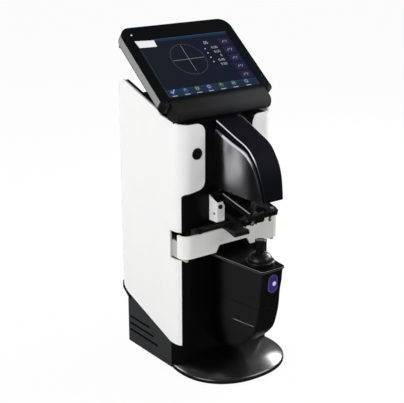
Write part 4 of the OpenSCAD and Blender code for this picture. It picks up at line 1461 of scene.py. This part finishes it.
@dataclass
class Screen:
    """What the display shows, and the blank sticker on its corner."""

    glass: float = 10.4
    layer_gap: float = 0.06
    width: float = 154.0
    low: float = 18.3
    height: float = 102.0
    inset: float = 0.3
    dial: Flat = (-10.8, 79.0)
    dial_radius: float = 27.5
    dial_marks: int = 24
    key_count: int = 5
    key_pitch: float = 15.4
    icon_height: float = 28.4
    digit_level: float = 0.16
    digit_scale: float = 1.35
    rows: Sequence[tuple[str, float, float, float]] = (
        ("05", 27.5, 100.8, 5.8), ("0.00", 35.2, 91.6, 4.6), ("0.05", 35.8, 83.8, 4.6),
        ("0", 42.0, 76.2, 4.6), ("0.40", 34.2, 68.6, 4.6), ("9.00", 34.0, 61.0, 4.6),
    )
    icons: Sequence[tuple[float, Light]] = (
        (-66.0, Light.BLUE), (-46.0, Light.BLUE), (-26.5, Light.GREEN), (-7.5, Light.BLUE),
        (13.0, Light.GREEN), (34.0, Light.BAR_EDGE), (56.0, Light.BAR_EDGE),
    )
    tick: Sequence[Flat] = (
        (-69.5, 28.6), (-66.4, 25.4), (-61.0, 31.6), (-62.2, 32.4), (-66.4, 27.6), (-68.4, 29.6),
    )
    sticker: Sequence[Flat] = ((-76.2, 119.9), (-74.6, 107.4), (-47.6, 106.4), (-46.3, 117.8))

    def frame(self) -> Matrix:
        """The display's own frame: X across, Y up the screen and Z out of it."""
        return Matrix.Translation(part_point(HINGE)) @ Matrix.Rotation(TILT, 4, "X")

    def plate(
        self, name: str, outlines: Iterable[Sequence[Flat]], layer: int, light: Surfaces,
        thick: float = 0.05,
    ) -> bpy.types.Object:
        """Adds thin plates on the glass.

        Args:
            name: Name of the piece.
            outlines: Outlines of its plates, in millimetres.
            layer: How many layers lie between them and the glass.
            light: Their finish.
            thick: Their thickness.

        Returns:
            The piece.
        """
        points: list[Point] = []
        faces: list[tuple[int, ...]] = []
        base = self.glass + layer * self.layer_gap
        for outline in outlines:
            new, sides = prism(outline, base, base + thick)
            faces += [tuple(i + len(points) for i in side) for side in sides]
            points += new
        scaled = [Vector(p) * MM for p in points]
        piece = add_piece(name, scaled, faces, light.material(), PLATE_CREASE, self.frame())
        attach(piece, "display")
        return piece

    def bar(self, start: Flat, end: Flat, width: float) -> list[Flat]:
        """Outline of a straight line.

        Args:
            start: Its first end.
            end: Its second end.
            width: Its width.

        Returns:
            The four corners.
        """
        a, b = Vector(start), Vector(end)
        side = (b - a).normalized().orthogonal() * width / 2
        return [tuple(p) for p in (a + side, a - side, b - side, b + side)]

    def ring_pieces(
        self, centre: Flat, radius: float, width: float, parts: int = 40
    ) -> list[list[Flat]]:
        """Outlines that make a ring.

        Args:
            centre: Its centre.
            radius: Its outer radius.
            width: Its width.
            parts: Number of joined parts.

        Returns:
            One outline for each part.
        """
        outer = arc(centre, radius, 0, 360, parts)
        inner = arc(centre, radius - width, 0, 360, parts)
        return [[inner[i], outer[i], outer[i + 1], inner[i + 1]] for i in range(parts)]

    def ticks(self) -> list[list[Flat]]:
        """Outlines of the marks round the dial, longer at each quarter.

        Returns:
            One outline for each mark.
        """
        (x, u), outlines = self.dial, []
        for i in range(self.dial_marks):
            a = 2 * math.pi * i / self.dial_marks
            near = self.dial_radius - (4.0 if i % 6 == 0 else 2.4)
            ends = [(x + r * math.cos(a), u + r * math.sin(a)) for r in (near, self.dial_radius - 0.9)]
            outlines.append(self.bar(ends[0], ends[1], 0.35))
        return outlines

    def glyphs(self) -> list[list[Flat]]:
        """Outlines of the slanted strokes on the side keys.

        Returns:
            Three outlines for each key.
        """
        outlines = []
        for i in range(self.key_count):
            foot = 100.0 - self.key_pitch * i
            for k in range(3):
                x = 59.0 + 3.0 * k
                outlines.append(self.bar((x, foot + 2.0 * (k % 2)), (x + 2.4, foot + 4.0), 0.8))
        return outlines

    def signs(self) -> list[list[Flat]]:
        """Outlines of the small pale signs on the round keys.

        Returns:
            The outlines of arrows, pairs of bars and rings, in turn.
        """
        outlines: list[list[Flat]] = []
        for i, (x, _) in enumerate(self.icons[1:]):
            if i % 3 == 0:
                outlines.append([(x - 2.4, 28.0), (x, 31.2), (x + 2.4, 28.0), (x, 29.2)])
            elif i % 3 == 1:
                outlines += [self.bar((x + s, 26.2), (x + s, 30.8), 1.2) for s in (-1.6, 1.6)]
            else:
                outlines += self.ring_pieces((x, self.icon_height), 2.6, 0.9, 16)
        return outlines

    def digits(self) -> bpy.types.Object:
        """Adds the rows of plain numbers.

        Returns:
            The piece that holds them all.
        """
        work = bmesh.new()
        for text, x, u, size in self.rows:
            curve = bpy.data.curves.new("digits", "FONT")
            curve.body, curve.size, curve.extrude = text, size * MM * self.digit_scale, 0.02 * MM
            curve.resolution_u = 2
            holder = bpy.data.objects.new("digits", curve)
            bpy.context.scene.collection.objects.link(holder)
            bpy.context.view_layer.update()
            graph = bpy.context.evaluated_depsgraph_get()
            mesh = bpy.data.meshes.new_from_object(holder.evaluated_get(graph))
            mesh.transform(Matrix.Translation(Vector((x, u, self.glass + self.digit_level)) * MM))
            work.from_mesh(mesh)
            bpy.data.objects.remove(holder)
            bpy.data.curves.remove(curve)
            bpy.data.meshes.remove(mesh)
        made = bpy.data.meshes.new("screen_digits")
        work.to_mesh(made)
        work.free()
        finish_mesh(made, PLATE_CREASE)
        made.materials.append(Light.DIGIT.material())
        piece = bpy.data.objects.new("screen_digits", made)
        bpy.context.scene.collection.objects.link(piece)
        piece.matrix_world = self.frame()
        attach(piece, "display")
        return piece

    def build(self) -> list[bpy.types.Object]:
        """Adds everything on the screen, from the glass outwards.

        Returns:
            The pieces.
        """
        x, u = self.dial
        wide, tall = self.width - 2 * self.inset, self.height - 2 * self.inset
        top = self.low + self.height - self.inset
        image = rounded_box((0.0, self.low + self.height / 2), (wide, tall), 0.5)
        upper_bar = rounded_box((13.0, top - 2.6), (wide - 28.0, 4.6), 0.4)
        lower_bar = rounded_box((0.0, self.low + 7.6), (wide - 3.0, 11.4), 0.4)
        upper_edge = rounded_box((13.0, top - 0.7), (wide - 28.0, 1.1), 0.2)
        lower_edge = rounded_box((0.0, self.low + 13.2), (wide - 3.0, 0.6), 0.2)
        ring = self.ring_pieces(self.dial, self.dial_radius, 0.7)
        cross = [self.bar((x - 26, u), (x + 25, u), 0.5), self.bar((x, u + 25), (x, u - 21), 0.5)]
        marks = [rounded_box((24.4 + 0.3 * i, 93.0 - 8.0 * i), (2.3, 2.0), 0.6) for i in range(4)]
        edge = [self.bar((-74.2, 104.0), (-75.2, 22.0), 0.45)]
        high = [102.0 - self.key_pitch * i for i in range(self.key_count)]
        keys = [rounded_box((63.0, z), (19.0, 12.0), 1.4) for z in high]
        labels = [rounded_box((place, 21.4), (8.4, 1.3), 0.4) for place, _ in self.icons]
        made = [
            self.plate("screen_image", [image], 0, Palette.SCREEN),
            self.plate("screen_bars", [upper_bar, lower_bar], 1, Light.BAR),
            self.plate("screen_bar_edges", [upper_edge, lower_edge], 2, Light.BAR_EDGE),
            self.plate("screen_dial", ring, 1, Light.DIAL),
            self.plate("screen_cross", cross, 2, Light.LINE),
            self.plate("screen_ticks", self.ticks(), 1, Light.DIAL),
            self.plate("screen_marks", marks, 1, Light.DIGIT),
            self.plate("screen_edge", edge, 1, Light.DIAL),
            self.plate("screen_keys", keys, 1, Light.KEY),
            self.plate("screen_glyphs", self.glyphs(), 2, Light.LINE),
        ]
        for light in (Light.BLUE, Light.GREEN, Light.BAR_EDGE):
            places = [(place, self.icon_height) for place, own in self.icons if own is light]
            discs = [disc(place, 4.3, 36) for place in places]
            made.append(self.plate(f"screen_icons_{light.name.lower()}", discs, 3, light))
        made += [
            self.plate("screen_signs", self.signs(), 4, Light.LINE),
            self.plate("screen_labels", [self.tick, *labels], 4, Light.PALE),
            self.plate("blank_sticker", [self.sticker], 5, Light.PAPER, 0.12),
            self.digits(),
        ]
        return made


# Dressing and studio

WHITE = (1.0, 1.0, 1.0, 1.0)


@dataclass
class Dresser:
    """Gives every carried-over solid its finish."""

    frame: dict[str, Any]
    own: dict[str, Palette] = field(default_factory=lambda: {"lower_top_plate": Palette.PLATE_EDGE})

    def run(self) -> None:
        """Dresses each node by the slot that the record names, or by its own finish."""
        dressed = 0
        for part in self.frame["record"]["subparts"]:
            name, slot = part["node"], part["material_slot"]
            material = self.own.get(name, Palette[slot.upper()]).material()
            places = self.frame["nodes"][name].material_slots
            for place in places:
                place.material = material
            dressed += bool(places)
        log.info("dressed %d solids", dressed)


@dataclass(frozen=True)
class Lamp:
    """A soft rectangular lamp; its places are in metres and its power in watts."""

    name: str
    place: Point
    size: Flat
    power: float
    aim: Point = (0.0, 0.0, 0.22)

    def light(self) -> None:
        """Adds the lamp to the scene."""
        data = bpy.data.lights.new(self.name, "AREA")
        data.shape, data.energy = "RECTANGLE", self.power
        data.size, data.size_y = self.size
        lamp = bpy.data.objects.new(self.name, data)
        bpy.context.scene.collection.objects.link(lamp)
        lamp.location = self.place
        lamp.rotation_euler = (Vector(self.aim) - lamp.location).to_track_quat("-Z", "Y").to_euler()


@dataclass
class Studio:
    """Camera, soft lamps, pale floor and the white world."""

    eye: Point = (-792.0, -1020.1, 650.9)
    target: Point = (-44.64, -25.9, 243.44)
    lens: float = 88.74
    sensor: float = 36.0
    ambient: float = 0.38
    mirrored: float = 0.2
    through_glass: float = 0.9
    floor_mirrored: float = 0.05
    floor_seen: float = 0.95
    floor_hidden: float = 0.97
    floor_half: float = 6.0
    floor_pale: Colour = (0.86, 0.86, 0.86)
    floor_worn: Colour = (0.8, 0.8, 0.8)
    lamps: Sequence[Lamp] = (
        Lamp("left_lamp", (-2.2, -0.5, 1.1), (1.6, 1.6), 30.0),
        Lamp("front_lamp", (1.26, -1.2, 1.3), (1.0, 1.0), 13.0),
        Lamp("right_lamp", (1.27, 0.1, 0.7), (0.7, 0.5), 18.0, (0.03, -0.08, 0.0)),
        Lamp("rim_lamp", (-0.8, 1.35, 0.95), (0.6, 0.6), 8.0),
        Lamp("top_lamp", (0.3, 0.2, 2.2), (1.2, 1.2), 2.0),
    )

    def camera(self) -> None:
        """Adds the camera at the photograph's place."""
        data = bpy.data.cameras.new("camera")
        data.lens, data.sensor_width, data.sensor_fit = self.lens, self.sensor, "HORIZONTAL"
        data.clip_start, data.clip_end = 0.01, 50.0
        eye = bpy.data.objects.new("camera", data)
        bpy.context.scene.collection.objects.link(eye)
        eye.location = Vector(self.eye) * MM
        look = Vector(self.target) * MM - eye.location
        eye.rotation_euler = look.to_track_quat("-Z", "Y").to_euler()
        bpy.context.scene.camera = eye

    def world(self) -> None:
        """Makes the world: white to the camera, soft grey light on the object."""
        world = bpy.data.worlds.new("studio")
        world.use_nodes = True
        bpy.context.scene.world = world
        graph = Graph(world.node_tree)
        seen, glossy, through = (graph.ray(kind) for kind in ("Camera", "Glossy", "Transmission"))
        strength = seen * (1 - self.ambient) + glossy * (self.mirrored - self.ambient)
        strength = strength + through * (self.through_glass - self.ambient) + self.ambient
        graph.surface(
            graph.node("ShaderNodeBackground", None, {"Color": WHITE, "Strength": strength})
        )

    def floor(self) -> None:
        """Makes the pale floor, which keeps the object's shadow."""
        half = self.floor_half
        corners = [(-half, -half, 0.0), (half, -half, 0.0), (half, half, 0.0), (-half, half, 0.0)]
        material = bpy.data.materials.new("pale_floor")
        material.use_nodes = True
        graph = Graph(material.node_tree)
        seen, glossy = graph.ray("Camera"), graph.ray("Glossy")
        colour = graph.mix(graph.noise(900.0), self.floor_pale, self.floor_worn)
        plain = graph.node("ShaderNodeBsdfDiffuse", None, {"Color": colour})
        white = graph.node("ShaderNodeEmission", None, {"Color": WHITE})
        dim = graph.node(
            "ShaderNodeEmission", None, {"Color": WHITE, "Strength": self.floor_mirrored}
        )
        shown = graph.node("ShaderNodeMixShader", None, {0: seen * self.floor_seen, 1: plain, 2: white})
        hidden = glossy * self.floor_hidden
        graph.surface(graph.node("ShaderNodeMixShader", None, {0: hidden, 1: shown, 2: dim}))
        floor = add_piece("floor", corners, [(0, 1, 2, 3)], material)
        floor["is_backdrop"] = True

    def build(self) -> None:
        """Sets the whole studio."""
        self.camera()
        self.world()
        self.floor()
        for lamp in self.lamps:
            lamp.light()
        bpy.context.scene.view_settings.view_transform = "Standard"


def main() -> None:
    """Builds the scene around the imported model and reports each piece."""
    logging.basicConfig(level=logging.INFO, format="%(name)s: %(message)s")
    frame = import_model()
    cad_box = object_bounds()
    Studio().build()
    Dresser(frame).run()
    upper, lower = UpperHousing(), LowerHousing()
    made = [upper.build(), upper.build_lid(), *lower.build(), LensRest().build(), FootPlate().build()]
    made += Screen().build()
    for piece in made:
        log.info("built %s with %d faces", piece.name, len(piece.data.polygons))
    sizes = [[list(map(float, corner)) for corner in box] for box in (cad_box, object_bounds())]


if __name__ == "__main__":
    main()
